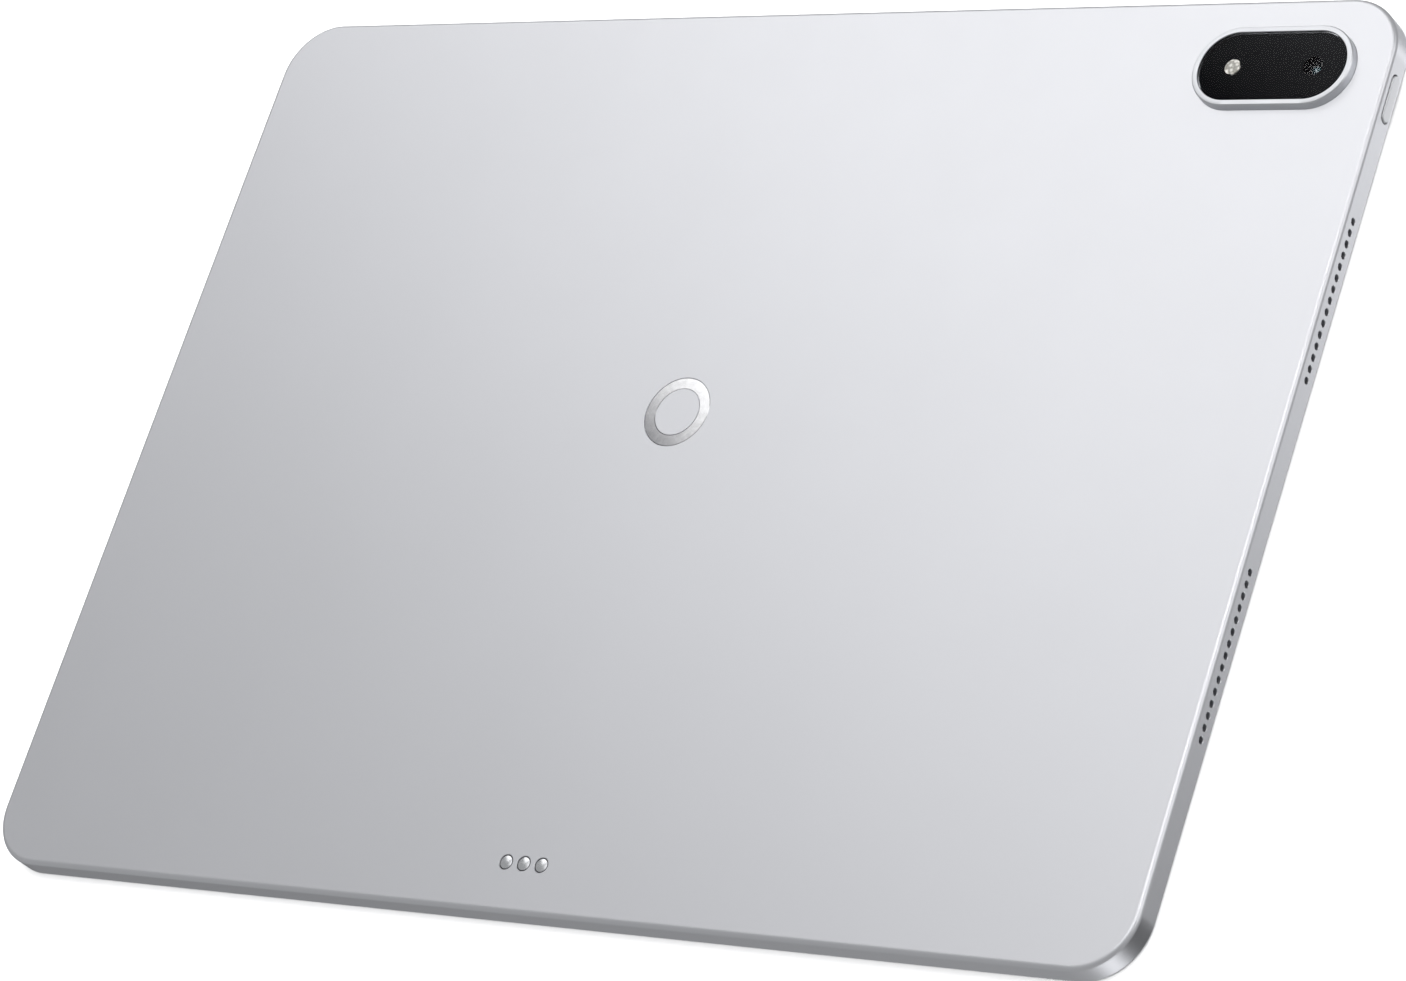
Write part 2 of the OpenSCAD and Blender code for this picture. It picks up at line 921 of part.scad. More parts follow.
module usb_clamp() {
    cheek_t = 0.3;
    cover = 2.4;
    top_z = usb_z + usb_w / 2;
    span = usb_l + 2 * (cheek_t + usb_fit);
    color("#a8abb0")
    union() {
        translate([usb_back_x - cover, -span / 2, top_z + usb_fit])
            cube([cover, span, cheek_t]);
        for (side = [-1, 1])
            block([cover, cheek_t, top_z + usb_fit - usb_z], [
                usb_back_x - cover / 2, side * (span - cheek_t) / 2, usb_z
            ]);
    }
}

module link_flex() {
    lane_w = 12;
    plug_l = 3;
    plug_w = 9;
    near_inset = 6;
    far_inset = 10;
    start_x = usb_back_x + near_inset;
    end_x = board_x0 + far_inset;
    color("#b8692a")
    union() {
        translate([start_x, -lane_w / 2, flex_z])
            cube([end_x - start_x, lane_w, flex_t]);
        block([plug_l, plug_w, usb_board_z - flex_z - flex_t], [start_x + plug_l, 0, flex_z + flex_t]);
        block([plug_l, plug_w, board_z - flex_z - flex_t], [end_x - plug_l, 0, flex_z + flex_t]);
    }
}

// ---------- keyboard contacts ----------

module keyboard_contacts() {
    dome_z = contact_rim_z - sqrt(contact_dome_r * contact_dome_r - contact_d * contact_d / 4);
    color("#e6e8ea")
    for (x = contact_spots)
        translate([x, contact_y, 0])
            union() {
                intersection() {
                    translate([0, 0, contact_rim_z - contact_head_t])
                        cylinder(d = contact_d, h = contact_head_t + overcut);
                    translate([0, 0, dome_z])
                        sphere(r = contact_dome_r);
                }
                translate([0, 0, carrier_z])
                    cylinder(d = contact_stem_d, h = contact_rim_z - contact_head_t - carrier_z);
            }
}

module contact_carrier() {
    collar_sink = 0.2;
    collar_fit = 0.05;
    collar_top = body_t - collar_sink;
    collar_wall = contact_gap - collar_fit;
    base_r = 1.2;
    fit = 0.03;
    color("#141416")
    difference() {
        union() {
            translate([0, contact_y, carrier_z])
                plate(carrier_l, carrier_w, base_r, carrier_t);
            for (x = contact_spots)
                translate([x, contact_y, carrier_z])
                    cylinder(d = contact_d + 2 * collar_wall, h = collar_top - carrier_z);
        }
        for (x = contact_spots)
            translate([x, contact_y, 0]) {
                translate([0, 0, contact_rim_z - contact_head_t - fit])
                    cylinder(d = contact_d + 2 * fit, h = body_t);
                cylinder(d = contact_stem_d + 2 * fit, h = body_t);
            }
    }
}

module contact_flex() {
    lane_gap = 0.05;
    lane_z = carrier_z - flex_t - lane_gap;
    lane_inset = 11;
    lane_x = board_x0 + lane_inset;
    lane_w = 6;
    tip_reach = 14;
    plug_inset = 2;
    plug_l = 4;
    plug_w = 3;
    color("#b8692a")
    union() {
        translate([-carrier_l / 2, contact_y - lane_w / 2, lane_z])
            cube([lane_x + lane_w / 2 + carrier_l / 2, lane_w, flex_t]);
        translate([lane_x - lane_w / 2, contact_y - lane_w / 2, lane_z])
            cube([lane_w, board_y0 + tip_reach - contact_y + lane_w / 2, flex_t]);
        block([plug_l, plug_w, lane_z - board_top], [lane_x, board_y0 + tip_reach - plug_inset, board_top]);
    }
}

// ---------- speakers ----------

// One enclosure, drawn for the right-hand upper corner
module speaker_box() {
    box_t = bay_top - bay_z;
    snout_x = inner_x - speaker_clear - snout_depth;
    snout_low = sound_z - sound_hole_d / 2 - speaker_wall;
    snout_t = sound_hole_d + 2 * speaker_wall;
    snout_root = 2;
    root_overlap = 0.2;
    box_r = 2;
    duct_rise = 0.5;
    duct_reach = 3;
    duct_z = sound_z - sound_hole_d / 2 + duct_rise;
    difference() {
        union() {
            translate([speaker_x, speaker_y, bay_z])
                plate(speaker_w, speaker_l, box_r, box_t);
            translate([snout_x - snout_root, sound_offset - snout_l / 2, bay_z])
                cube([snout_root + root_overlap, snout_l, snout_t - bay_z + snout_low]);
            translate([snout_x, sound_offset - snout_l / 2, snout_low])
                cube([snout_depth, snout_l, snout_t]);
        }
        // sound duct
        translate([snout_x - duct_reach, sound_offset - snout_l / 2 + speaker_wall, duct_z])
            cube([
                snout_depth + duct_reach + 2 * overcut, snout_l - 2 * speaker_wall, sound_hole_d - duct_rise
            ]);
        // driver seats
        translate([speaker_x, speaker_y - speaker_l / 4, bay_top - driver_sink])
            plate(woofer_w, woofer_l, woofer_r, driver_sink + overcut);
        translate([speaker_x, speaker_y + speaker_l / 6, bay_top - driver_sink])
            plate(tweeter_w, tweeter_l, tweeter_r, driver_sink + overcut);
        // screw tab
        translate([
            speaker_x - speaker_w / 2 - overcut, speaker_screw_y - screw_inset, speaker_tab_top
        ])
            cube([2 * screw_inset + overcut, 2 * screw_inset + overcut, box_t]);
        translate([speaker_screw_x, speaker_screw_y, bay_z - overcut])
            cylinder(d = screw_hole_d, h = box_t + 2 * overcut);
        translate([
            speaker_x - speaker_w / 2 - overcut, speaker_screw_y - screw_inset, bay_z - overcut
        ])
            cube([2 * screw_inset + overcut, 2 * screw_inset + overcut, screw_head_t + overcut]);
    }
}

module at_corner(sx, sy) {
    mirror([sx < 0 ? 1 : 0, 0, 0])
        mirror([0, sy < 0 ? 1 : 0, 0])
            children();
}

module speaker(sx, sy) {
    color("#232427")
    at_corner(sx, sy)
        speaker_box();
}

module speaker_right_upper() {
    speaker(1, 1);
}

module speaker_right_lower() {
    speaker(1, -1);
}

module speaker_left_upper() {
    speaker(-1, 1);
}

module speaker_left_lower() {
    speaker(-1, -1);
}

module driver(length, width, radius, y) {
    cone_t = 0.3;
    frame_w = 1.5;
    translate([speaker_x, y, bay_top - driver_sink])
        difference() {
            plate(
                width - 2 * driver_fit, length - 2 * driver_fit, radius - 2 * driver_fit, driver_sink
            );
            translate([0, 0, driver_sink - cone_t])
                plate(width - 2 * frame_w, length - 2 * frame_w, radius / 2, cone_t + overcut);
        }
}

module woofers() {
    color("#3a3c40")
    for (sx = [-1, 1], sy = [-1, 1])
        at_corner(sx, sy)
            driver(woofer_l, woofer_w, woofer_r, speaker_y - speaker_l / 4);
}

module tweeters() {
    color("#4a4c52")
    for (sx = [-1, 1], sy = [-1, 1])
        at_corner(sx, sy)
            driver(tweeter_l, tweeter_w, tweeter_r, speaker_y + speaker_l / 6);
}

module sound_meshes() {
    mesh_fit = 0.02;
    mesh_margin = 0.3;
    mesh_z = sound_z - sound_hole_d / 2 - mesh_margin;
    color("#2c2d30")
    for (sx = [-1, 1], sy = [-1, 1])
        at_corner(sx, sy)
            translate([inner_x - speaker_clear + mesh_fit, sound_offset - snout_l / 2, mesh_z])
                cube([mesh_t, snout_l, sound_hole_d + 2 * mesh_margin]);
}

// ---------- battery ----------

module battery_cell(side) {
    foil_edge = 0.5;
    color("#2b2d31")
    translate([battery_x + side * (battery_l + battery_gap) / 2, battery_y, bay_z])
        soft_plate(battery_l, battery_w, battery_r, bay_top - bay_z, foil_edge, foil_edge);
}

module battery_left() {
    battery_cell(-1);
}

module battery_right() {
    battery_cell(1);
}

module battery_tapes() {
    tape_w = 14;
    tape_l = 150;
    tape_spread = 24;
    color("#e8e8e8")
    for (side = [-1, 1], lane = [-1, 1])
        block([tape_w, tape_l, roof_gap], [
            battery_x + side * (battery_l + battery_gap) / 2 + lane * tape_spread, battery_y, bay_top
        ]);
}

module battery_board() {
    thick = 0.6;
    chip = [8, 3, 0.9];
    chip_pitch = 20;
    lead_t = 0.3;
    lead_w = 4;
    lead_root = 8;
    lead_tip = 6;
    lead_inset = 0.5;
    low_y = battery_high_y + battery_board_gap;
    lead_x = battery_x + battery_board_l / 2 - lead_root;
    color("#1d5a3a")
    union() {
        block([battery_board_l, battery_board_w, thick], [battery_x, low_y + battery_board_w / 2, board_z]);
        for (i = [-2:2])
            block(chip, [battery_x + i * chip_pitch, low_y + battery_board_w / 2, board_z + thick]);
        // welded lead to the main board
        translate([lead_x, low_y + lead_inset, board_z - lead_t])
            cube([board_x0 + lead_tip - lead_x, lead_w, lead_t]);
    }
}

// ---------- main board ----------

module main_board() {
    chip = [4, 3, 0.6];
    chip_inset = [5, 18];
    chip_pitch = 16;
    low_chip = [2, 2, 0.4];
    low_inset = [3, 24];
    low_pitch = 14;
    head_overlap = 1;
    cut_r = 1;
    color("#174c35")
    difference() {
        union() {
            translate([board_x0, board_y0, board_z])
                cube([board_x1 - board_x0, board_y1 - board_y0 + head_overlap, board_t]);
            translate([board_x0, board_y1, board_z])
                cube([head_x1 - board_x0, head_y1 - board_y1, board_t]);
            for (i = [0:5])
                block(chip, [
                    board_x0 + chip_inset[0], board_y0 + chip_inset[1] + i * chip_pitch, board_top
                ]);
            for (i = [0:4])
                block(low_chip, [
                    board_x1 - low_inset[0], board_y0 + low_inset[1] + i * low_pitch, board_z - low_chip[2]
                ]);
        }
        for (spot = board_screw_spots)
            translate([spot[0], spot[1], board_z - overcut])
                cylinder(d = screw_hole_d, h = board_t + 2 * overcut);
        translate([camera_x, island_y, board_z - overcut])
            plate(board_cut, board_cut, cut_r, board_t + 2 * overcut);
    }
}

module shield_can(length, width, x, y) {
    sheet = 0.15;
    can_r = 1;
    translate([x, y, board_top])
        difference() {
            plate(length, width, can_r, shield_t);
            translate([0, 0, -overcut])
                plate(length - 2 * sheet, width - 2 * sheet, can_r - sheet, shield_t - sheet + overcut);
        }
}

shield_shift = 3.5;
shield_x = (board_x0 + board_x1) / 2 + shield_shift;
processor_y = 30;
radio_y = -22;
shield_w = 13;
processor_l = 44;
radio_l = 34;

module processor_shield() {
    color("#b9bcc0")
    shield_can(shield_w, processor_l, shield_x, processor_y);
}

module radio_shield() {
    color("#b9bcc0")
    shield_can(shield_w, radio_l, shield_x, radio_y);
}

module thermal_pad() {
    side_inset = 1;
    end_inset = 3;
    color("#8f97a3")
    translate([shield_x, processor_y, board_top + shield_t])
        plate(shield_w - 2 * side_inset, processor_l - 2 * end_inset, side_inset, pad_t);
}

module heat_spreader() {
    sheet_r = 2;
    side_inset = 2.5;
    end_inset = 11;
    middle = [shield_x - 0.5, 4];
    color("#303236")
    translate([middle[0], middle[1], board_top + shield_t + pad_t])
        plate(board_x1 - board_x0 - 2 * side_inset, board_y1 - board_y0 - 2 * end_inset, sheet_r, sheet_t);
}

// ---------- front sensors ----------

module front_camera() {
    lens_fit = 0.05;
    lens_depth = 1.4;
    color("#202226")
    difference() {
        block([front_camera_side, front_camera_side, front_camera_t], [0, border_y, ledge_z]);
        translate([0, border_y, ledge_z - overcut])
            cylinder(d = front_lens_d + 2 * lens_fit, h = overcut + lens_depth);
    }
}

module front_camera_lens() {
    lens_sink = 0.1;
    lens_t = 1.2;
    color("#27384a")
    translate([0, border_y, ledge_z + lens_sink])
        cylinder(d = front_lens_d, h = lens_t);
}

module light_sensor() {
    color("#3c2f4a")
    block([sensor_side, sensor_side, sensor_t], [sensor_x, border_y, ledge_z]);
}

module mic_can(spot) {
    block([mic_l, mic_t, mic_w], [
        spot[0], spot[1] * (inner_y - boot_t - mic_t / 2), mic_z - mic_w / 2
    ]);
}

module microphones() {
    color("#c8b684")
    for (spot = mic_spots)
        mic_can(spot);
}

module microphone_boots() {
    boot_fit = 0.05;
    boot_margin = 0.3;
    boot = [mic_l + 0.8, boot_t - boot_fit, mic_w + 2 * boot_margin];
    color("#1b1b1d")
    for (spot = mic_spots)
        difference() {
            block(boot, [
                spot[0], spot[1] * (inner_y - boot_t / 2), mic_z - mic_w / 2 - boot_margin
            ]);
            translate([spot[0], spot[1] * inner_y, mic_z])
                rotate([90, 0, 0])
                    cylinder(d = mic_hole_d, h = 4 * boot_t, center = true);
        }
}

// ---------- magnets and antennas ----------

module stylus_coil() {
    coil_w = 4;
    coil_t = 1.8;
    coil_r = 1.6;
    coil_lift = 0.2;
    slot = [20, 0.9, 3];
    slot_r = 0.4;
    slot_lift = 0.8;
    middle_y = inner_y - 2.6;
    color("#a8642c")
    difference() {
        translate([stylus_x, middle_y, bay_z + coil_lift])
            plate(stylus_coil_l, coil_w, coil_r, coil_t);
        translate([stylus_x, middle_y, bay_z + slot_lift])
            plate(slot[0], slot[1], slot_r, slot[2]);
    }
}

module magnet_block(x, y, turned) {
    size = turned ? [magnet_w, magnet_l, magnet_t] : [magnet_l, magnet_w, magnet_t];
    block(size, [x, y, bay_top - magnet_t]);
}

module stylus_magnets() {
    color("#9ea2a8")
    for (x = stylus_spots)
        magnet_block(x, inner_y - magnet_gap - magnet_w / 2, false);
}

module cover_magnets() {
    color("#9ea2a8")
    for (spot = cover_spots)
        magnet_block(spot[0] * (inner_x - magnet_gap - magnet_w / 2), spot[1], true);
}

module keyboard_magnets() {
    color("#9ea2a8")
    for (x = keyboard_spots)
        magnet_block(x, -inner_y + magnet_gap + magnet_w / 2, false);
}

module antenna_bar(x, y) {
    block([antenna_l, antenna_w, antenna_t], [x, y, antenna_z]);
}

module antennas() {
    color("#2e3034")
    union() {
        for (x = upper_antennas)
            antenna_bar(x, border_y);
        for (x = lower_antennas)
            antenna_bar(x, -border_y);
    }
}

// ---------- screws ----------

module screw(spot, seat) {
    drive_d = 1;
    translate([spot[0], spot[1], seat])
        difference() {
            union() {
                translate([0, 0, -screw_head_t])
                    cylinder(d = screw_head_d, h = screw_head_t);
                cylinder(d = screw_d, h = screw_l);
            }
            translate([0, 0, -screw_head_t - overcut])
                cylinder(d = drive_d, h = overcut + screw_head_t / 2, $fn = 6);
        }
}

module board_screws() {
    color("#b0b3b8")
    union() {
        for (spot = board_screw_spots)
            screw(spot, board_z);
        for (spot = usb_screw_spots)
            screw(spot, usb_board_z);
    }
}

module speaker_screws() {
    color("#b0b3b8")
    for (spot = speaker_screw_spots)
        screw(spot, speaker_seat_z);
}

rear_housing();
cover_glass();
display_gasket();
display_panel();
backlight();
display_board();
display_flex();
camera_ring();
camera_window();
camera_mask();
camera_module();
camera_lens();
flash_diffuser();
flash_board();
emblem_inlay();
power_button();
power_switch();
power_bracket();
volume_rocker();
volume_switches();
volume_bracket();
side_key_flexes();
usb_shell();
usb_tongue();
usb_board();
usb_clamp();
link_flex();
keyboard_contacts();
contact_carrier();
contact_flex();
speaker_right_upper();
speaker_right_lower();
speaker_left_upper();
speaker_left_lower();
woofers();
tweeters();
sound_meshes();
battery_left();
battery_right();
battery_tapes();
battery_board();
main_board();
processor_shield();
radio_shield();
thermal_pad();
heat_spreader();
front_camera();
front_camera_lens();
light_sensor();
microphones();
microphone_boots();
stylus_coil();
stylus_magnets();
cover_magnets();
keyboard_magnets();
antennas();
board_screws();
speaker_screws();
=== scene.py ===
import json
import math
import bmesh
import bpy
from mathutils import Matrix, Vector


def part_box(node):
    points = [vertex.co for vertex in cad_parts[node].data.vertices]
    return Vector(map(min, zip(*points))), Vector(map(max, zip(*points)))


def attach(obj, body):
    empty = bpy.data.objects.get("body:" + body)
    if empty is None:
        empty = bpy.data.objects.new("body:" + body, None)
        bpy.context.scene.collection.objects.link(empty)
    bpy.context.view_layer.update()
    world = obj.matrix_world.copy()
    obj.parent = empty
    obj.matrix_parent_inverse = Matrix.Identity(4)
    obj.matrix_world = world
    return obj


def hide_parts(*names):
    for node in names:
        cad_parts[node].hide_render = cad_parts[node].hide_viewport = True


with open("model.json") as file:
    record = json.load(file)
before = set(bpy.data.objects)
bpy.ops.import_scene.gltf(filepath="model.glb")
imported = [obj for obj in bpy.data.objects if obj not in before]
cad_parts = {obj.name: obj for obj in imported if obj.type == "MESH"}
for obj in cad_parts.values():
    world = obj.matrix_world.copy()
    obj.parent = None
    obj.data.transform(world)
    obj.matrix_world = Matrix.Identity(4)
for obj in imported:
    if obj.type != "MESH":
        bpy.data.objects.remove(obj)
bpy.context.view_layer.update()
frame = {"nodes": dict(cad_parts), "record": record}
MM = 0.001

# %% [markdown]
# ## Sizes
# Every size comes from the CAD boxes, so that a mesh made here fits the piece that it stands for. The few
# values that a box can't give, such as a corner radius, are named here once.
# %% Read the sizes of the body
shell_low, shell_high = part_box("rear_housing")
glass_low, glass_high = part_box("cover_glass")
body_size = shell_high - shell_low
half_x, half_y = body_size.x / 2, body_size.y / 2
back_z = shell_high.z
rim_z = shell_low.z
corner_radius = 12.8 * MM
side_wall = 2.8 * MM
back_wall = 0.8 * MM
ledge_z = glass_high.z + 0.15 * MM
print("body in mm:", [round(v / MM, 2) for v in body_size], "back at", round(back_z / MM, 2))

# %% [markdown]
# ## Camera
# A long lens stands above the corner with the power button and looks down on the back. The camera is turned
# about its own axis, so that the long side runs across the picture. Depth of field stays off.
# %% Place the camera
AIM = Vector((13.35 * MM, -9.54 * MM, back_z))
CAMERA_AZIMUTH = math.radians(59.71)
CAMERA_ELEVATION = math.radians(46.06)
CAMERA_DISTANCE = 1.0807
CAMERA_ROLL = math.radians(-48.61)
CAMERA_LENS = 135.5


def direction_to(azimuth, elevation):
    """Unit vector from the tablet towards a place: azimuth 0 is in front (-Y), 90 degrees is +X."""
    flat = math.cos(elevation)
    return Vector((math.sin(azimuth) * flat, -math.cos(azimuth) * flat, math.sin(elevation)))


def look_at(place, target, roll=0.0):
    """World matrix of a camera or light at place that faces target."""
    ahead = (target - place).normalized()
    right = ahead.cross(Vector((0, 0, 1))).normalized()
    up = right.cross(ahead)
    turned_right = right * math.cos(roll) + up * math.sin(roll)
    turned_up = turned_right.cross(ahead)
    columns = Matrix((turned_right, turned_up, -ahead)).transposed()
    return Matrix.Translation(place) @ columns.to_4x4()


camera_data = bpy.data.cameras.new("camera")
camera_data.lens = CAMERA_LENS
camera_data.clip_start = 0.01
camera = bpy.data.objects.new("camera", camera_data)
bpy.context.scene.collection.objects.link(camera)
bpy.context.scene.camera = camera
toward_camera = direction_to(CAMERA_AZIMUTH, CAMERA_ELEVATION)
camera.matrix_world = look_at(AIM + toward_camera * CAMERA_DISTANCE, AIM, CAMERA_ROLL)
print("camera at", [round(v, 3) for v in camera.matrix_world.translation])

# %% [markdown]
# ## Floor and light
# A satin metal shows its surroundings more than its own colour. The back mirrors the pale sky and the large
# soft panels. The first panel stands where the back mirrors it towards the camera, a little to the far
# right, so the back is brightest at the camera island and falls off towards the opposite corner. The side
# bands mirror what is below the table's level, so the floor is left out of reflections and a darker ground
# with two glows shows there.
# %% Make the floor
FLOOR_SIDE = 30.0


def floor_material():
    material = bpy.data.materials.new("pale_floor")
    material.use_nodes = True
    tree = material.node_tree
    shader = tree.nodes["Principled BSDF"]
    shader.inputs["Specular IOR Level"].default_value = 0.1
    shader.inputs["Roughness"].default_value = 0.9
    place = tree.nodes.new("ShaderNodeTexCoord")
    mottle = tree.nodes.new("ShaderNodeTexNoise")
    mottle.inputs["Scale"].default_value = 2.0
    ramp = tree.nodes.new("ShaderNodeValToRGB")
    ramp.color_ramp.elements[0].color = (0.90, 0.90, 0.90, 1)
    ramp.color_ramp.elements[1].color = (0.93, 0.93, 0.93, 1)
    tree.links.new(place.outputs["Object"], mottle.inputs["Vector"])
    tree.links.new(mottle.outputs["Fac"], ramp.inputs["Fac"])
    tree.links.new(ramp.outputs["Color"], shader.inputs["Base Color"])
    return material


def make_floor():
    mesh = bpy.data.meshes.new("floor")
    half = FLOOR_SIDE / 2
    corners = [(-half, -half, 0), (half, -half, 0), (half, half, 0), (-half, half, 0)]
    mesh.from_pydata(corners, [], [(0, 1, 2, 3)])
    floor = bpy.data.objects.new("floor", mesh)
    bpy.context.scene.collection.objects.link(floor)
    mesh.materials.append(floor_material())
    floor.visible_glossy = False


make_floor()
print("floor side:", FLOOR_SIDE)

# %% Light it with a pale room and soft panels
SKY_TONE = 0.38
CORNER_GLOW_FROM = (0.27, -0.62, -0.72)
# Each ramp of the room is (start, brightness there, end, brightness there), along one part of a direction.
GROUND_ACROSS = (-0.1, 0.37, 0.4, 0.05)
NEAR_SIDE = (-0.75, -0.28, -0.50, 0.0)
GLOW_BEGINS = (0.34, 0.0, 0.54, 3.0)
GLOW_ENDS = (0.50, 1.0, 0.62, 0.07)
CORNER_GLOW = (0.95, 0.0, 1.0, 2.2)
HORIZON = (-0.66, 0.0, -0.48, 1.0)
bpy.context.scene.view_settings.view_transform = "Standard"


def make_room():
    """A pale sky over a darker ground, whose two glows give the side bands their gradients."""
    world = bpy.data.worlds.new("pale_room")
    bpy.context.scene.world = world
    world.use_nodes = True
    tree = world.node_tree
    direction = tree.nodes.new("ShaderNodeTexCoord").outputs["Generated"]
    split = tree.nodes.new("ShaderNodeSeparateXYZ")
    tree.links.new(direction, split.inputs["Vector"])
    toward_glow = tree.nodes.new("ShaderNodeVectorMath")
    toward_glow.operation = "DOT_PRODUCT"
    toward_glow.inputs[1].default_value = Vector(CORNER_GLOW_FROM).normalized()
    tree.links.new(direction, toward_glow.inputs[0])

    def ramp(source, start, low, end, high):
        ranger = tree.nodes.new("ShaderNodeMapRange")
        ranger.interpolation_type = "SMOOTHSTEP"
        for socket, value in zip(("From Min", "From Max", "To Min", "To Max"), (start, end, low, high)):
            ranger.inputs[socket].default_value = value
        tree.links.new(source, ranger.inputs["Value"])
        return ranger.outputs["Result"]

    def combine(operation, first, second):
        total = tree.nodes.new("ShaderNodeMath")
        total.operation = operation
        tree.links.new(first, total.inputs[0])
        tree.links.new(second, total.inputs[1])
        return total.outputs["Value"]

    ground = ramp(split.outputs["X"], *GROUND_ACROSS)
    near_side = ramp(split.outputs["X"], *NEAR_SIDE)
    glow = combine(
        "MULTIPLY", ramp(split.outputs["Y"], *GLOW_BEGINS), ramp(split.outputs["Y"], *GLOW_ENDS))
    corner = ramp(toward_glow.outputs["Value"], *CORNER_GLOW)
    for part in (near_side, corner, glow):
        ground = combine("ADD", ground, part)
    room = tree.nodes.new("ShaderNodeMix")
    room.inputs["B"].default_value = SKY_TONE
    tree.links.new(ramp(split.outputs["Z"], *HORIZON), room.inputs["Factor"])
    tree.links.new(ground, room.inputs["A"])
    background = tree.nodes["Background"]
    background.inputs["Color"].default_value = (0.98, 0.99, 1.0, 1)
    tree.links.new(room.outputs["Result"], background.inputs["Strength"])


def soft_panel(name, place, target, width, height, power):
    """A soft lamp at place that faces target. Its size is in metres and its power in watts."""
    lamp = bpy.data.lights.new(name, "AREA")
    lamp.shape = "RECTANGLE"
    lamp.size = width
    lamp.size_y = height
    lamp.energy = power
    panel = bpy.data.objects.new(name, lamp)
    bpy.context.scene.collection.objects.link(panel)
    panel.matrix_world = look_at(Vector(place), Vector(target))
    return panel


make_room()
soft_panel("far_panel", (-0.60, 0.80, 0.90), (0.0, 0.0, 0.0), 0.8, 0.8, 2.38)
soft_panel("top_panel", (0.20, 0.35, 1.40), (0.0, 0.0, 0.0), 1.2, 1.2, 4.4)
soft_panel("small_lamp", (0.25, 0.42, 1.15), (0.05, 0.0, 0.0), 0.06, 0.06, 0.6)
soft_panel("right_panel", (1.15, 0.45, 0.62), (0.145, 0.0, 0.0), 1.0, 0.6, 2.56)
floor_panel = soft_panel("floor_panel", (0.01, 0.0, 2.0), (0.0, 0.0, 0.0), 3.0, 3.0, 75.0)
floor_panel.visible_glossy = False

# %% [markdown]
# ## Mesh tools
# Almost every piece of the outside is a rounded slab: an outline with round corners, and an edge section
# that says how far the outline steps in at each height. A section swept this way gives clean rings of
# quads, which is why it is used instead of a cube with a bevel. A round piece is turned, as on a lathe.
# %% Outlines and edge sections
CORNER_STEPS = 40
SMALLEST_CORNER = 0.02


def rounded_outline(length, width, radius, steps):
    """Points round a rectangle with round corners, counter-clockwise, in metres."""
    points = []
    corners = [(1, 1, 0), (-1, 1, 90), (-1, -1, 180), (1, -1, 270)]
    for side_x, side_y, start in corners:
        middle_x = side_x * (length / 2 - radius)
        middle_y = side_y * (width / 2 - radius)
        for i in range(steps + 1):
            angle = math.radians(start + 90 * i / steps)
            points.append((middle_x + radius * math.cos(angle), middle_y + radius * math.sin(angle)))
    return points


def bend(inset, drop, steps, fullness=2.0):
    """An edge that turns from upright to flat: (inset, rise) pairs. Fullness 2 is a circle, 3 is squarer."""
    pairs = []
    for i in range(steps + 1):
        angle = math.pi / 2 * i / steps
        across = math.cos(angle) ** (2 / fullness)
        along = math.sin(angle) ** (2 / fullness)
        pairs.append((inset * (1 - across), drop * along))
    return pairs


def slab_section(low, high, low_edge, high_edge, steps=6, fullness=2.0):
    """Edge section of a slab from low to high, with both edges rounded."""
    lower = [(inset, low + low_edge - rise) for inset, rise in bend(low_edge, low_edge, steps, fullness)]
    upper = [(inset, high - high_edge + rise) for inset, rise in bend(high_edge, high_edge, steps, fullness)]
    return lower[::-1] + upper


# %% Turn rings into meshes
def mesh_object(name, vertices, faces):
    mesh = bpy.data.meshes.new(name)
    mesh.from_pydata(vertices, [], faces)
    mesh.validate()
    piece = bpy.data.objects.new(name, mesh)
    bpy.context.scene.collection.objects.link(piece)
    return piece


def stack_rings(name, rings):
    """Joins rings with the same number of points by quads, and closes both ends."""
    count = len(rings[0])
    vertices = [point for ring in rings for point in ring]
    faces = [tuple(reversed(range(count)))]
    for level in range(len(rings) - 1):
        base = level * count
        for i in range(count):
            j = (i + 1) % count
            faces.append((base + i, base + j, base + count + j, base + count + i))
    faces.append(tuple(range((len(rings) - 1) * count, len(rings) * count)))
    return mesh_object(name, vertices, faces)


def closed_loop(name, rings):
    """Joins rings into a closed tube: the last ring meets the first."""
    count = len(rings[0])
    vertices = [point for ring in rings for point in ring]
    faces = []
    for level in range(len(rings)):
        base = level * count
        above = ((level + 1) % len(rings)) * count
        for i in range(count):
            j = (i + 1) % count
            faces.append((base + i, base + j, above + j, above + i))
    return mesh_object(name, vertices, faces)


def slab_rings(length, width, radius, section, steps):
    """One rounded outline for each (inset, height) of the section."""
    rings = []
    for inset, height in section:
        inner = max(radius - inset, radius * SMALLEST_CORNER)
        outline = rounded_outline(length - 2 * inset, width - 2 * inset, inner, steps)
        rings.append([(x, y, height) for x, y in outline])
    return rings


def turned_rings(profile, segments):
    """One circle for each (radius, height) of the profile."""
    rings = []
    for radius, height in profile:
        around = [2 * math.pi * i / segments for i in range(segments)]
        rings.append([(radius * math.cos(a), radius * math.sin(a), height) for a in around])
    return rings


def slab(name, length, width, radius, section, steps=CORNER_STEPS):
    """A rounded slab about the Z axis. The section runs from the underside to the top."""
    return stack_rings(name, slab_rings(length, width, radius, section, steps))


def slab_band(name, length, width, radius, section, steps=CORNER_STEPS):
    """A band that follows a rounded outline. Its section is a closed loop."""
    return closed_loop(name, slab_rings(length, width, radius, section, steps))


def turned(name, profile, segments=64):
    """A turned piece about the Z axis. The profile runs from the bottom to the top."""
    return stack_rings(name, turned_rings(profile, segments))


def turned_band(name, profile, segments=96):
    """A turned ring. Its profile is a closed loop that runs up outside and down inside."""
    return closed_loop(name, turned_rings(profile, segments))


# %% Place, join, cut and finish them
def place(piece, matrix):
    piece.data.transform(matrix)
    return piece


def move(piece, x, y, z=0.0):
    return place(piece, Matrix.Translation((x, y, z)))


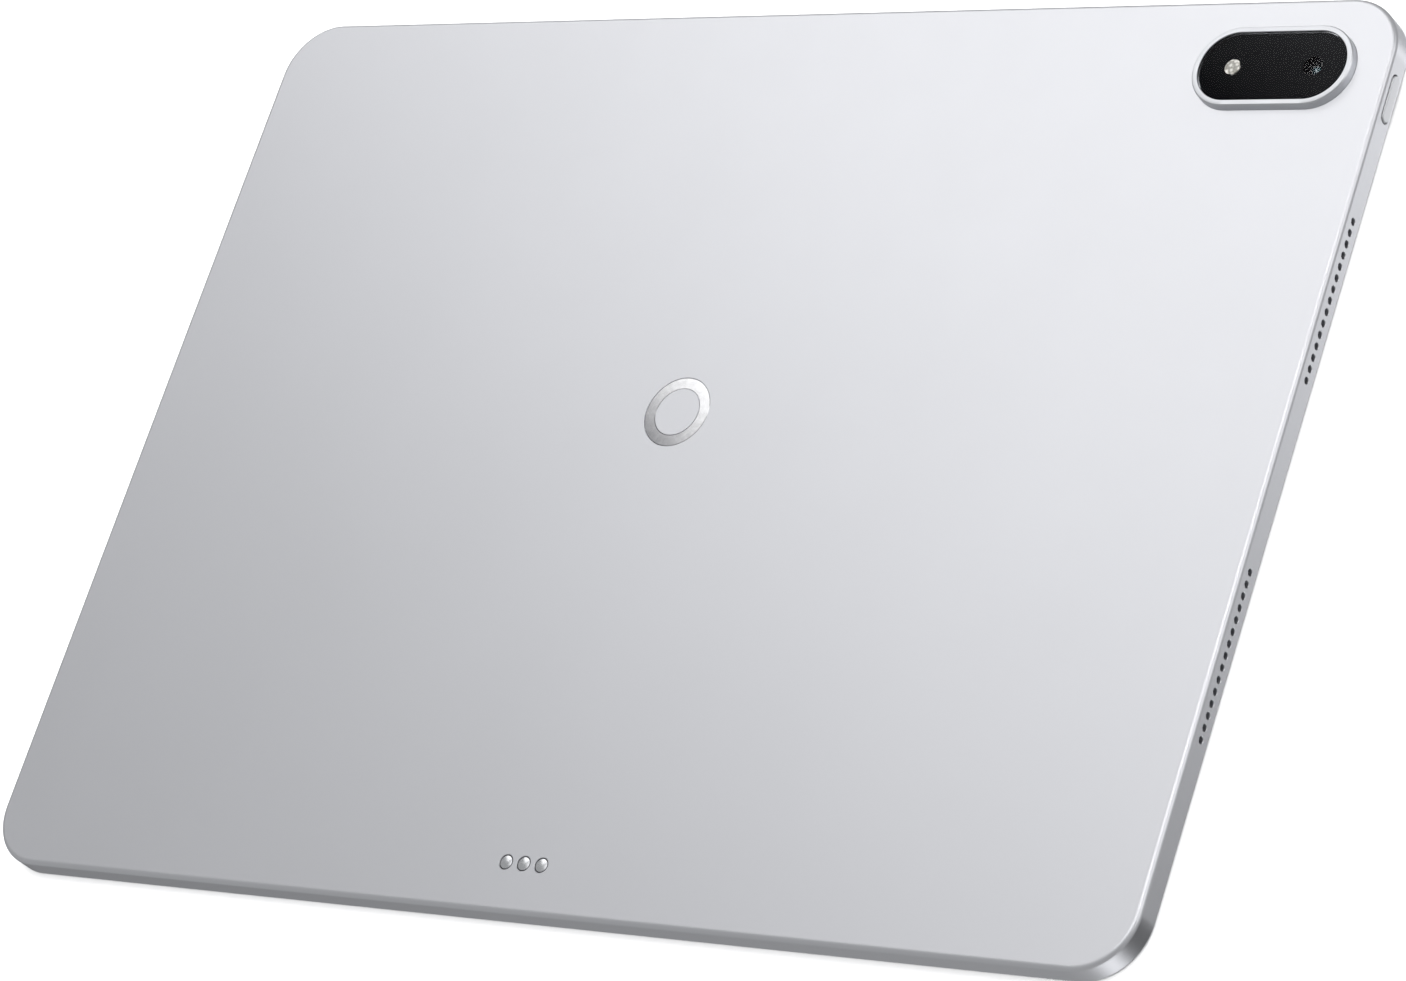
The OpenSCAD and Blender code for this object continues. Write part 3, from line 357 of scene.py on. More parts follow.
def join(pieces, name):
    """Several separate solids as one mesh."""
    total = bmesh.new()
    for piece in pieces:
        total.from_mesh(piece.data)
        bpy.data.objects.remove(piece)
    mesh = bpy.data.meshes.new(name)
    total.to_mesh(mesh)
    total.free()
    joined = bpy.data.objects.new(name, mesh)
    bpy.context.scene.collection.objects.link(joined)
    return joined


def apply_modifiers(piece):
    """Gives the piece the mesh that its modifiers make."""
    bpy.context.view_layer.update()
    evaluated = piece.evaluated_get(bpy.context.evaluated_depsgraph_get())
    finished = bpy.data.meshes.new_from_object(evaluated)
    piece.modifiers.clear()
    piece.data = finished
    return piece


def cut(piece, tools, operation="DIFFERENCE"):
    """Cuts the joined tools out of the piece."""
    tool = join(tools, "cutting_tool")
    modifier = piece.modifiers.new("cut", "BOOLEAN")
    modifier.operation = operation
    modifier.solver = "EXACT"
    modifier.object = tool
    apply_modifiers(piece)
    bpy.data.objects.remove(tool)
    return piece


SHARP_ANGLE = math.radians(28)


def smooth(piece, angle=SHARP_ANGLE):
    """Smooth shading that keeps real edges sharp and large flat faces flat."""
    mesh = piece.data
    mesh.shade_smooth()
    mesh.set_sharp_from_angle(angle=angle)
    modifier = piece.modifiers.new("normals", "WEIGHTED_NORMAL")
    modifier.keep_sharp = True
    modifier.weight = 100
    return apply_modifiers(piece)


def let_light_through(piece):
    """Glass that casts no shadow: the lamps then reach what lies behind it."""
    piece.visible_shadow = False
    return piece


finishes = {}


def dress(piece, slot, *nodes, body="tablet", finish=None):
    """Gives a piece its body and a finish, the one of its slot unless another is named, and hides the CAD
    nodes that it stands for.
    """
    piece.data.materials.clear()
    piece.data.materials.append(finishes[finish or slot])
    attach(piece, body)
    if nodes:
        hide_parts(*nodes)
    print(piece.name, "has", len(piece.data.polygons), "faces")
    return piece

# %% [markdown]
# ## Finishes
# No real surface is one flat value. Each finish starts from one small helper that adds three things to a
# plain shader: a slow drift in the colour, a finer drift in the roughness, and a grain that only the light
# sees. Scales are given as the size of one feature in millimetres, because that is how a finish is judged
# by eye. Each finish has the name of the slot that it is for, so a piece finds its finish by its slot.
# %% A small kit for node materials
class Finish:
    """A material with short names for what its nodes do. All textures are in object space, in metres."""

    def __init__(self, name, metallic=0.0, roughness=0.5, specular=0.5, **sockets):
        material = bpy.data.materials.new(name)
        material.use_nodes = True
        finishes[name] = material
        self.tree = material.node_tree
        self.shader = self.tree.nodes["Principled BSDF"]
        self.shader.inputs["Metallic"].default_value = metallic
        self.shader.inputs["Roughness"].default_value = roughness
        self.shader.inputs["Specular IOR Level"].default_value = specular
        for socket, value in sockets.items():
            self.shader.inputs[socket.replace("_", " ")].default_value = value
        self.where = self.node("ShaderNodeTexCoord").outputs["Object"]

    def node(self, kind, **values):
        made = self.tree.nodes.new(kind)
        for name, value in values.items():
            made.inputs[name].default_value = value
        return made

    def link(self, source, target):
        self.tree.links.new(source, target)

    def stretched(self, x, y, z):
        """Object space with each axis scaled, for brushed or woven patterns."""
        mapping = self.node("ShaderNodeMapping")
        mapping.inputs["Scale"].default_value = (x, y, z)
        self.link(self.where, mapping.inputs["Vector"])
        return mapping.outputs["Vector"]

    def noise(self, feature_mm, detail=2.0, vector=None):
        noise = self.node("ShaderNodeTexNoise", Scale=1 / (feature_mm * MM), Detail=detail)
        self.link(vector or self.where, noise.inputs["Vector"])
        return noise.outputs["Fac"]

    def spread(self, value, low, high, from_low=0.3, from_high=0.7):
        """Maps a pattern onto a range of plain values."""
        ranger = self.node("ShaderNodeMapRange")
        ranger.inputs["From Min"].default_value = from_low
        ranger.inputs["From Max"].default_value = from_high
        ranger.inputs["To Min"].default_value = low
        ranger.inputs["To Max"].default_value = high
        self.link(value, ranger.inputs["Value"])
        return ranger.outputs["Result"]

    def colours(self, value, first, second, start=0.3, end=0.7):
        ramp = self.node("ShaderNodeValToRGB")
        ramp.color_ramp.elements[0].position = start
        ramp.color_ramp.elements[0].color = (*first, 1)
        ramp.color_ramp.elements[1].position = end
        ramp.color_ramp.elements[1].color = (*second, 1)
        self.link(value, ramp.inputs["Fac"])
        self.link(ramp.outputs["Color"], self.shader.inputs["Base Color"])
        return ramp

    def graded(self, direction, start, end, dark, pale):
        """A colour that changes slowly along a direction, between two distances in metres."""
        along = self.node("ShaderNodeVectorMath")
        along.operation = "DOT_PRODUCT"
        along.inputs[1].default_value = direction
        self.link(self.where, along.inputs[0])
        self.colours(self.spread(along.outputs["Value"], 0.0, 1.0, start, end), dark, pale, 0.0, 1.0)

    def bricks(self, size_mm, first, second, gap):
        """A grid of small cells in two tones, with lines between them."""
        cells = self.node("ShaderNodeTexBrick", Scale=1 / (size_mm * MM))
        for socket, tone in zip(("Color1", "Color2", "Mortar"), (first, second, gap)):
            cells.inputs[socket].default_value = (*tone, 1)
        self.link(self.where, cells.inputs["Vector"])
        self.link(cells.outputs["Color"], self.shader.inputs["Base Color"])
        return cells

    def roughen(self, value, low, high):
        self.link(self.spread(value, low, high), self.shader.inputs["Roughness"])

    def bump(self, value, height_mm, strength=1.0, below=None):
        bump = self.node("ShaderNodeBump", Strength=strength, Distance=height_mm * MM)
        self.link(value, bump.inputs["Height"])
        if below:
            self.link(below, bump.inputs["Normal"])
        self.link(bump.outputs["Normal"], self.shader.inputs["Normal"])
        return bump.outputs["Normal"]


# %% Metals
def blasted_metal(name, tone, low_rough, high_rough, grain=0.004):
    """Aluminium blasted with fine beads and anodised: a silky grain of about a fifth of a millimetre."""
    finish = Finish(name, metallic=1.0)
    darker = [v * 0.985 for v in tone]
    finish.colours(finish.noise(60.0), darker, tone)
    finish.roughen(finish.noise(9.0, 3.0), low_rough, high_rough)
    finish.bump(finish.noise(0.18, 3.0), grain, 0.35)


def polished_metal(name, tone, low_rough, high_rough, swirl=0.0006):
    """A polished face: almost a mirror, with faint polishing drift."""
    finish = Finish(name, metallic=1.0)
    finish.colours(finish.noise(3.0), [v * 0.94 for v in tone], tone)
    finish.roughen(finish.noise(1.2, 3.0), low_rough, high_rough)
    finish.bump(finish.noise(0.5, 2.0), swirl, 0.3)


def polish_with_painted_shade(name, dark, pale):
    """A polished face whose colour fades from dark to pale along it: painted shade and painted reflection."""
    finish = Finish(name, metallic=1.0)
    # painted shade and reflection: the metal colour runs from dark to pale across the face
    finish.graded((0.62, 0.78, 0.0), -0.002, 0.015, dark, pale)
    finish.roughen(finish.noise(1.2, 3.0), 0.12, 0.20)
    finish.bump(finish.noise(0.5, 2.0), 0.0006, 0.3)


def stamped_metal(name, tone, low_rough=0.28, high_rough=0.42):
    """Thin sheet with the fine lines that rolling leaves."""
    finish = Finish(name, metallic=1.0)
    lines = finish.noise(1.0, 3.0, finish.stretched(14.0, 0.6, 1.0))
    finish.colours(lines, [v * 0.9 for v in tone], tone)
    finish.roughen(lines, low_rough, high_rough)
    finish.bump(lines, 0.002, 0.4)


blasted_metal("blasted_aluminium", (0.795, 0.80, 0.83), 0.425, 0.435)
blasted_metal("key_aluminium", (0.73, 0.735, 0.755), 0.415, 0.435, 0.003)
blasted_metal("ring_aluminium", (0.69, 0.70, 0.725), 0.34, 0.40, 0.003)
# painted shade and reflection on the emblem: dark at one side of the ring, pale at the other
polish_with_painted_shade("polished_inlay", (0.24, 0.24, 0.25), (0.80, 0.80, 0.81))
polished_metal("contact_plating", (0.80, 0.81, 0.83), 0.20, 0.28)
stamped_metal("thin_steel", (0.62, 0.63, 0.65))
polished_metal("screw_steel", (0.55, 0.56, 0.58), 0.25, 0.35)
polished_metal("magnet_nickel", (0.60, 0.61, 0.63), 0.16, 0.26)
stamped_metal("copper_coil", (0.72, 0.40, 0.22))
blasted_metal("driver_steel", (0.12, 0.12, 0.13), 0.35, 0.5)
stamped_metal("battery_foil", (0.10, 0.10, 0.11), 0.35, 0.5)


# %% Glass, print and lenses
def clear_glass(name, tint, index, roughness=0.0):
    """Clear hardened glass. A coating is a lower index; a faint wipe mark keeps it from looking like air."""
    finish = Finish(name, roughness=roughness, Transmission_Weight=1.0, IOR=index)
    finish.colours(finish.noise(40.0), tint, [v * 0.99 for v in tint])
    finish.roughen(finish.noise(25.0, 3.0), roughness, roughness + 0.012)


def matt_print(name, tone):
    """Printed ink behind glass."""
    finish = Finish(name, roughness=0.6, specular=0.2)
    finish.colours(finish.noise(0.4), tone, [v * 1.4 for v in tone])
    finish.roughen(finish.noise(0.4), 0.5, 0.7)


def print_with_painted_shade(name, dark, pale):
    """Ink whose colour pales slowly along the island: painted shade, darker at one end and paler at the
    other.
    """
    finish = Finish(name, roughness=0.6, specular=0.15)
    # painted shade: the ink colour grades along this direction in place of the light that falls across the
    # window
    finish.graded((0.5, 0.87, 0.0), 0.125, 0.150, dark, pale)
    finish.roughen(finish.noise(0.4), 0.5, 0.7)


def coated_lens(name):
    """A lens whose coating mirrors a little teal and hides the rest."""
    finish = Finish(name, roughness=0.03, specular=0.6, Coat_Weight=0.15, Coat_Roughness=0.02)
    finish.shader.inputs["Coat Tint"].default_value = (0.45, 0.95, 0.85, 1)
    finish.colours(finish.noise(0.6), (0.004, 0.009, 0.012), (0.008, 0.022, 0.026))
    finish.roughen(finish.noise(0.5), 0.02, 0.05)


def frosted_lens(name):
    """The flash's moulded diffuser: milky, a little warm, with fine rings cut in its face. Its colour has
    painted light: bright cell centres and dark cell edges stand in for light and shade on its moulded face.
    """
    finish = Finish(name, roughness=0.25, specular=0.6, Subsurface_Weight=0.4, Subsurface_Scale=0.6 * MM)
    finish.shader.inputs["Subsurface Radius"].default_value = (1.0, 0.9, 0.7)
    painted_facet_light = finish.node("ShaderNodeTexVoronoi", Scale=1 / (0.9 * MM))
    finish.link(finish.where, painted_facet_light.inputs["Vector"])
    # painted highlights and shade: each cell is pale in the middle and dark at its edge
    finish.colours(painted_facet_light.outputs["Distance"], (0.62, 0.61, 0.57), (0.20, 0.195, 0.175), 0.12, 0.62)
    finish.roughen(finish.noise(0.3), 0.18, 0.32)
    finish.bump(finish.noise(0.15), 0.004, 0.4)


def dark_panel(name):
    """The liquid-crystal panel when it is off: near black, with a fine cell pattern."""
    finish = Finish(name, roughness=0.2, specular=0.4)
    finish.bricks(0.6, (0.011, 0.013, 0.018), (0.014, 0.016, 0.022), (0.004, 0.004, 0.006))
    finish.roughen(finish.noise(20.0), 0.16, 0.24)


clear_glass("display_glass", (0.97, 0.98, 0.98), 1.5)
clear_glass("window_glass", (0.96, 0.97, 0.98), 1.1)
matt_print("black_ink", (0.004, 0.004, 0.005))
coated_lens("lens_glass")
# painted shade: the mask ink runs from near black at one end of the island to a paler black at the other
print_with_painted_shade("mask_ink", (0.0004, 0.0005, 0.0010), (0.0165, 0.017, 0.0185))
frosted_lens("diffuser")
dark_panel("liquid_crystal")


# %% Plastics, boards and soft pieces
def moulded(name, tone, low_rough=0.45, high_rough=0.6, specular=0.5):
    """Moulded plastic or rubber with a fine spark-eroded texture."""
    finish = Finish(name, specular=specular)
    finish.colours(finish.noise(4.0), tone, [min(v * 1.25, 1.0) for v in tone])
    finish.roughen(finish.noise(1.0), low_rough, high_rough)
    finish.bump(finish.noise(0.25), 0.006, 0.5)


def circuit_board(name):
    """Solder mask over copper tracks, which show as faint raised lines."""
    finish = Finish(name, roughness=0.35, specular=0.6)
    tracks = finish.bricks(1.6, (0.018, 0.11, 0.06), (0.022, 0.13, 0.075), (0.04, 0.20, 0.11))
    finish.roughen(finish.noise(2.0), 0.28, 0.42)
    finish.bump(tracks.outputs["Fac"], 0.01, 0.5)


def woven_mesh(name):
    """The dust mesh: a plain weave at four threads to the millimetre."""
    finish = Finish(name, roughness=0.7)
    threads = []
    for direction in ("X", "Y", "Z"):
        wave = finish.node("ShaderNodeTexWave", Scale=1 / (1.4 * MM))
        wave.bands_direction = direction
        finish.link(finish.where, wave.inputs["Vector"])
        threads.append(wave.outputs["Fac"])
    crossing = finish.node("ShaderNodeMath")
    crossing.operation = "MULTIPLY"
    finish.link(threads[1], crossing.inputs[0])
    finish.link(threads[2], crossing.inputs[1])
    finish.colours(crossing.outputs["Value"], (0.004, 0.004, 0.005), (0.03, 0.03, 0.033), 0.1, 0.9)
    finish.roughen(threads[0], 0.6, 0.8)
    finish.bump(crossing.outputs["Value"], 0.03, 0.6)


def film(name, tone, low_rough, high_rough):
    """A thin film or tape with a slight ripple."""
    finish = Finish(name, specular=0.5)
    ripple = finish.noise(5.0, 2.0)
    finish.colours(ripple, [v * 0.85 for v in tone], tone)
    finish.roughen(ripple, low_rough, high_rough)
    finish.bump(ripple, 0.01, 0.4)


moulded("black_plastic", (0.012, 0.012, 0.014))
moulded("lens_black", (0.002, 0.002, 0.0025), 0.75, 0.9, specular=0.05)
moulded("speaker_plastic", (0.03, 0.03, 0.033))
moulded("seal_rubber", (0.012, 0.012, 0.012), 0.65, 0.8)
circuit_board("circuit_board")
film("flex_film", (0.45, 0.20, 0.06), 0.25, 0.4)
film("tape", (0.85, 0.85, 0.84), 0.3, 0.45)
film("graphite", (0.06, 0.06, 0.065), 0.4, 0.6)
moulded("thermal_silicone", (0.36, 0.40, 0.45), 0.6, 0.75)
moulded("backlight_white", (0.80, 0.80, 0.78), 0.5, 0.65)
woven_mesh("sound_mesh")
print("finishes:", len(finishes))

# %% [markdown]
# ## Finishes for the pieces inside
# The CAD shapes of the inner pieces are right as they are: boards, cans, cells and magnets are flat-sided.
# They stay, and each takes the finish of its own slot, so the record and the picture agree.
# %% Dress the CAD pieces that stay
slot_of = {part["node"]: part["material_slot"] for part in frame["record"]["subparts"]}
# the camera mask takes the mask ink, whose colour carries painted shade
slot_of["camera_mask"] = "mask_ink"
for node_name, cad_piece in frame["nodes"].items():
    cad_piece.data.materials.clear()
    cad_piece.data.materials.append(finishes[slot_of[node_name]])
print("dressed", len(frame["nodes"]), "CAD pieces")

# %% [markdown]
# ## The aluminium housing
# On the real tablet one plate is milled into a shallow tray: a flat back, an upright side band, and a wall
# that holds the glass. The edge towards the back turns over in a soft curve that is a little squarer than a
# circle, so that it meets the flat back with no hard line. Every opening gets a small chamfer, because a
# milled hole always has one, and that bright ring is what makes it look drilled and not painted.
# %% Mill the tray
FRONT_EDGE = 0.6 * MM
BACK_EDGE = 1.1 * MM
BACK_FULLNESS = 2.15
EDGE_STEPS = 10
OVERSHOOT = 1.0 * MM
CHAMFER = 0.09 * MM
RIM_WIDTH = 0.8 * MM


def housing_blank():
    """The front edge is a plain round, and the edge towards the back is the squarer one."""
    edges = (rim_z, back_z, FRONT_EDGE, BACK_EDGE, EDGE_STEPS)
    lower = slab_section(*edges)[:EDGE_STEPS + 1]
    upper = slab_section(*edges, BACK_FULLNESS)[EDGE_STEPS + 1:]
    return slab("housing_shell", body_size.x, body_size.y, corner_radius, lower + upper)


def tray_tool():
    length, width = body_size.x - 2 * RIM_WIDTH, body_size.y - 2 * RIM_WIDTH
    step = side_wall - RIM_WIDTH
    section = [(0, -OVERSHOOT), (0, ledge_z), (step, ledge_z), (step, back_z - back_wall)]
    return slab("tray_tool", length, width, corner_radius - RIM_WIDTH, section)


housing = cut(housing_blank(), [tray_tool()])
print("tray:", len(housing.data.polygons), "faces")


# %% Tools for holes in the side band
def facing(out, middle):
    """Matrix that stands a flat piece on a side: its top faces out, and its long side stays level."""
    out = Vector(out)
    up = Vector((0, 0, 1))
    right = up.cross(out)
    columns = Matrix((right, up, out)).transposed()
    return Matrix.Translation(middle) @ columns.to_4x4()


def drill(radius, depth, segments=28):
    """A drill with a chamfering shoulder. Its point is below, and the surface is at height 0."""
    wide = radius + CHAMFER
    return turned("drill", [(radius, -depth), (radius, -CHAMFER), (wide, 0), (wide, OVERSHOOT)], segments)


def slot_mill(length, width, depth, chamfer=CHAMFER):
    section = [(0, -depth), (0, -chamfer), (-chamfer, 0), (-chamfer, OVERSHOOT)]
    return slab("slot_mill", length, width, width / 2, section, 20)


# %% Drill and mill the side band
SOUND_HOLE = 1.5 * MM
SOUND_PITCH = 2.5 * MM
SOUND_COUNT = 15
SOUND_OFFSET = 38.1 * MM
SOUND_HEIGHT = 2.9 * MM
MIC_HOLE = 0.9 * MM
EAR_REACH = 1.2 * MM
KEY_GAP = 0.15 * MM
KEY_WALL = 1.4 * MM
SOCKET_FIT = 0.05 * MM
MIC_SIZE_X = 3.5 * MM


def sound_tools():
    """Two rows of drills for each short side."""
    tools = []
    for side, row in ((-1, -1), (-1, 1), (1, -1), (1, 1)):
        for i in range(SOUND_COUNT):
            y = row * SOUND_OFFSET + (i - (SOUND_COUNT - 1) / 2) * SOUND_PITCH
            tool = drill(SOUND_HOLE / 2, side_wall + OVERSHOOT)
            tools.append(place(tool, facing((side, 0, 0), (side * half_x, y, SOUND_HEIGHT))))
    return tools


def key_facts(node, length_axis):
    """Middle, cap length and width of a key, from its CAD box."""
    low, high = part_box(node)
    size = high - low
    return (low + high) / 2, size[length_axis] - 2 * EAR_REACH, size.z, high


power_middle, power_length, key_width, power_high = key_facts("power_button", 1)
rocker_middle, rocker_length, _, rocker_high = key_facts("volume_rocker", 0)
key_sides = {
    "power": ((1, 0, 0), (half_x, power_middle.y, power_middle.z), power_length),
    "rocker": ((0, 1, 0), (rocker_middle.x, half_y, rocker_middle.z), rocker_length),
}


def key_tools():
    tools = []
    for out, spot, length in key_sides.values():
        tool = slot_mill(length + 2 * KEY_GAP, key_width + 2 * KEY_GAP, KEY_WALL + OVERSHOOT)
        tools.append(place(tool, facing(out, spot)))
    return tools


def ear_pockets():
    """The wider pocket behind each key slot, where the key's ears move."""
    pockets = []
    for out, spot, length in key_sides.values():
        width = key_width + 2 * KEY_GAP
        section = [(0, -side_wall - OVERSHOOT), (0, -KEY_WALL)]
        pocket = slab("ear_pocket", length + 2 * EAR_REACH + 4 * KEY_GAP, width, width / 20, section, 3)
        pockets.append(place(pocket, facing(out, spot)))
    return pockets


socket_low, socket_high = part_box("usb_shell")
socket_size = socket_high - socket_low
socket_middle = (socket_low + socket_high) / 2
mic_low, mic_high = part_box("microphones")
mic_spots = [mic_low.x + MIC_SIZE_X / 2, mic_high.x - MIC_SIZE_X / 2]
mic_height = (mic_low.z + mic_high.z) / 2


def socket_and_mic_tools():
    depth = side_wall + OVERSHOOT
    length, width = socket_size.y + 2 * SOCKET_FIT, socket_size.z + 2 * SOCKET_FIT
    mill = slot_mill(length, width, depth, 2 * CHAMFER)
    tools = [place(mill, facing((-1, 0, 0), (-half_x, socket_middle.y, socket_middle.z)))]
    for x in mic_spots:
        tools.append(place(drill(MIC_HOLE / 2, depth, 20), facing((0, 1, 0), (x, half_y, mic_height))))
    return tools


cut(housing, ear_pockets())
cut(housing, sound_tools() + key_tools() + socket_and_mic_tools())
print("side band:", len(housing.data.polygons), "faces")

# %% Cut the seats in the back
SEAT_GAP = 0.05 * MM
THROAT_INSET = 2.45 * MM
CONTACT_GAP = 0.2 * MM
EMBLEM_BAND = 2.6 * MM
ring_low, ring_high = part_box("camera_ring")
ring_size = ring_high - ring_low
island_x = (ring_low.x + ring_high.x) / 2
island_y = (ring_low.y + ring_high.y) / 2
contact_low, contact_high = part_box("keyboard_contacts")
contact_size = contact_high.y - contact_low.y
contact_y = (contact_low.y + contact_high.y) / 2
contact_pitch = (contact_high.x - contact_low.x - contact_size) / 2
contact_spots = [-contact_pitch, 0, contact_pitch]
emblem_low, emblem_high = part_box("emblem_inlay")
emblem_radius = (emblem_high.x - emblem_low.x) / 2
emblem_y = (emblem_low.y + emblem_high.y) / 2


def back_tools():
    """The island's stepped seat, a bore for each contact, and the emblem's groove."""
    seat_z = ring_low.z
    above = back_z + OVERSHOOT
    section = [
        (THROAT_INSET, back_z - back_wall - OVERSHOOT), (THROAT_INSET, seat_z), (0, seat_z),
        (0, back_z - CHAMFER / 2), (-CHAMFER / 2, back_z), (-CHAMFER / 2, above),
    ]
    width = ring_size.y + 2 * SEAT_GAP
    seat = slab("seat_mill", ring_size.x + 2 * SEAT_GAP, width, width / 2, section, 48)
    tools = [move(seat, island_x, island_y)]
    for x in contact_spots:
        bore = drill(contact_size / 2 + CONTACT_GAP, back_wall + OVERSHOOT, 64)
        tools.append(move(bore, x, contact_y, back_z))
    outer = emblem_radius + SEAT_GAP
    inner = emblem_radius - EMBLEM_BAND - SEAT_GAP
    groove = [(outer, emblem_low.z), (outer, above), (inner, above), (inner, emblem_low.z)]
    tools.append(move(turned_band("groove_tool", groove, 128), 0, emblem_y))
    return tools


cut(housing, back_tools())
smooth(housing)
dress(housing, "blasted_aluminium", "rear_housing")

# %% [markdown]
# ## The glass over the display
# The tablet rests on this sheet. Its edge is ground round on both sides, and a black border is printed on
# its inner face, which hides the glue line and the edge of the panel. The print is a thin band of its own,
# so that the lit area stays clear and the front camera looks out through a small window in it.
# %% Make the cover glass and its printed border
GLASS_EDGE = 0.25 * MM
PRINT_THICKNESS = 0.02 * MM
LIT_INSET = 7.05 * MM
LIT_CORNER = 6.0 * MM
PRINT_EDGE_INSET = 0.3 * MM
PRINT_WINDOW = 1.3 * MM
glass_size = glass_high - glass_low
glass_radius = corner_radius - RIM_WIDTH - 0.1 * MM
front_lens_low, front_lens_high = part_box("front_camera_lens")
front_lens_middle = (front_lens_low + front_lens_high) / 2

glass_section = slab_section(glass_low.z, glass_high.z, GLASS_EDGE, GLASS_EDGE, 8)
front_glass = smooth(slab("front_glass", glass_size.x, glass_size.y, glass_radius, glass_section))
dress(let_light_through(front_glass), "display_glass", "cover_glass")

print_top = glass_high.z - PRINT_THICKNESS / 2
print_low = print_top - PRINT_THICKNESS


def printed_border():
    """Outer and inner outlines have their own corner radii, so the band is made as a slab with a cut."""
    length, width = glass_size.x - 2 * PRINT_EDGE_INSET, glass_size.y - 2 * PRINT_EDGE_INSET
    border = slab("printed_border", length, width, glass_radius, [(0, print_low), (0, print_top)])
    length, width = glass_size.x - 2 * LIT_INSET, glass_size.y - 2 * LIT_INSET
    through = [(0, print_low - OVERSHOOT), (0, print_top + OVERSHOOT)]
    inner = slab("lit_area", length, width, LIT_CORNER, through)
    window = turned("window", [(PRINT_WINDOW, -OVERSHOOT), (PRINT_WINDOW, OVERSHOOT)], 32)
    move(window, front_lens_middle.x, front_lens_middle.y, print_low)
    return cut(border, [inner, window])


dress(smooth(printed_border()), "black_ink")

# %% [markdown]
# ## The camera island
# A metal ring stands two millimetres above the back. Its wall is upright, its outer edge is cut to a bright
# chamfer, and a narrow flat lip frames the window. The ring is a band swept along its outline: the section
# goes up outside, over the chamfer and the lip, and down inside to the ledge that carries the window.
# %% Make the ring
RING_CHAMFER = 0.22 * MM
RING_EASE = 0.05 * MM
RING_WIDTH = 1.25 * MM
LEDGE_WIDTH = 1.2 * MM
mask_low, mask_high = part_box("camera_mask")
window_low, window_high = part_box("camera_window")
window_size = window_high - window_low


def ring_section():
    top = ring_high.z
    outer = [
        (RING_EASE, ring_low.z), (0, ring_low.z + RING_EASE), (0, top - RING_CHAMFER - RING_EASE),
        (RING_EASE * 0.3, top - RING_CHAMFER), (RING_CHAMFER, top - RING_EASE * 0.3),
        (RING_CHAMFER + RING_EASE, top),
    ]
    inner = [
        (RING_WIDTH - 1.6 * RING_EASE, top), (RING_WIDTH, top - 1.6 * RING_EASE), (RING_WIDTH, mask_low.z),
        (RING_WIDTH + LEDGE_WIDTH, mask_low.z), (RING_WIDTH + LEDGE_WIDTH, ring_low.z),
    ]
    return outer + inner


ring = slab_band("island_ring", ring_size.x, ring_size.y, ring_size.y / 2, ring_section(), 56)
smooth(move(ring, island_x, island_y), math.radians(20))
dress(ring, "ring_aluminium", "camera_ring")
ring.visible_glossy = False  # the silky back would show its wall as a wide pale shade

# %% [markdown]
# The window is one sheet of clear glass over black print. What looks black from outside is the print, so
# the glass above it still gives a clean reflection. The flash sits in its own hole, and the camera looks
# through a clear spot in the print.
# %% Make the window
FLASH_RADIUS = 1.75 * MM
WINDOW_EDGE = 0.15 * MM
EDGE_COAT = 0.035 * MM
camera_low, camera_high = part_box("camera_module")
camera_x = (camera_low.x + camera_high.x) / 2
flash_low, flash_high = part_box("flash_diffuser")
flash_x = (flash_low.x + flash_high.x) / 2

window_section = slab_section(window_low.z, window_high.z, WINDOW_EDGE, WINDOW_EDGE, 5)
window = slab("island_window", window_size.x, window_size.y, window_size.y / 2, window_section, 56)
move(window, island_x, island_y)
cut(window, [move(drill(FLASH_RADIUS + SEAT_GAP, 2 * OVERSHOOT, 64), flash_x, island_y, window_high.z)])
dress(let_light_through(smooth(window)), "window_glass", "camera_window")

coat_top = window_high.z - WINDOW_EDGE
coat_section = [(0, mask_low.z), (0, coat_top), (EDGE_COAT, coat_top), (EDGE_COAT, mask_low.z)]
coat_length, coat_width = window_size.x + 2.4 * EDGE_COAT, window_size.y + 2.4 * EDGE_COAT
edge_coat = slab_band("window_edge_coat", coat_length, coat_width, coat_width / 2, coat_section, 56)
dress(smooth(move(edge_coat, island_x, island_y)), "black_ink")
edge_coat.visible_glossy = False

# %% [markdown]
# Behind the clear spot lies the lens barrel. A lens looks deep because it is a stack: a threaded rim, a
# front lens with a strong curve, a stepped black cone, and a small iris with a second lens that mirrors a
# point of light. The stack is turned piece by piece, so those glints come from real curved surfaces.
# %% Make the barrel and the lens stack
lens_low, lens_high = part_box("camera_lens")
lens_radius = (lens_high.x - lens_low.x) / 2
BARREL_RADIUS = 3.3 * MM
FRONT_CURVE = 4.2 * MM
IRIS_RADIUS = 0.95 * MM
IRIS_CURVE = 1.05 * MM
CONE_DEPTH = 0.85 * MM
CONE_STEPS = 7
camera_base_top = camera_low.z + 2.7 * MM


def dome(radius, curve, foot, top, rings=10):
    """Profile of a lens: straight edge from foot, then a spherical face that peaks at top."""
    points = [(radius, foot)]
    for i in range(rings + 1):
        r = radius * (1 - i / rings)
        points.append((max(r, radius * 0.01), top - curve + math.sqrt(curve * curve - r * r)))
    return points


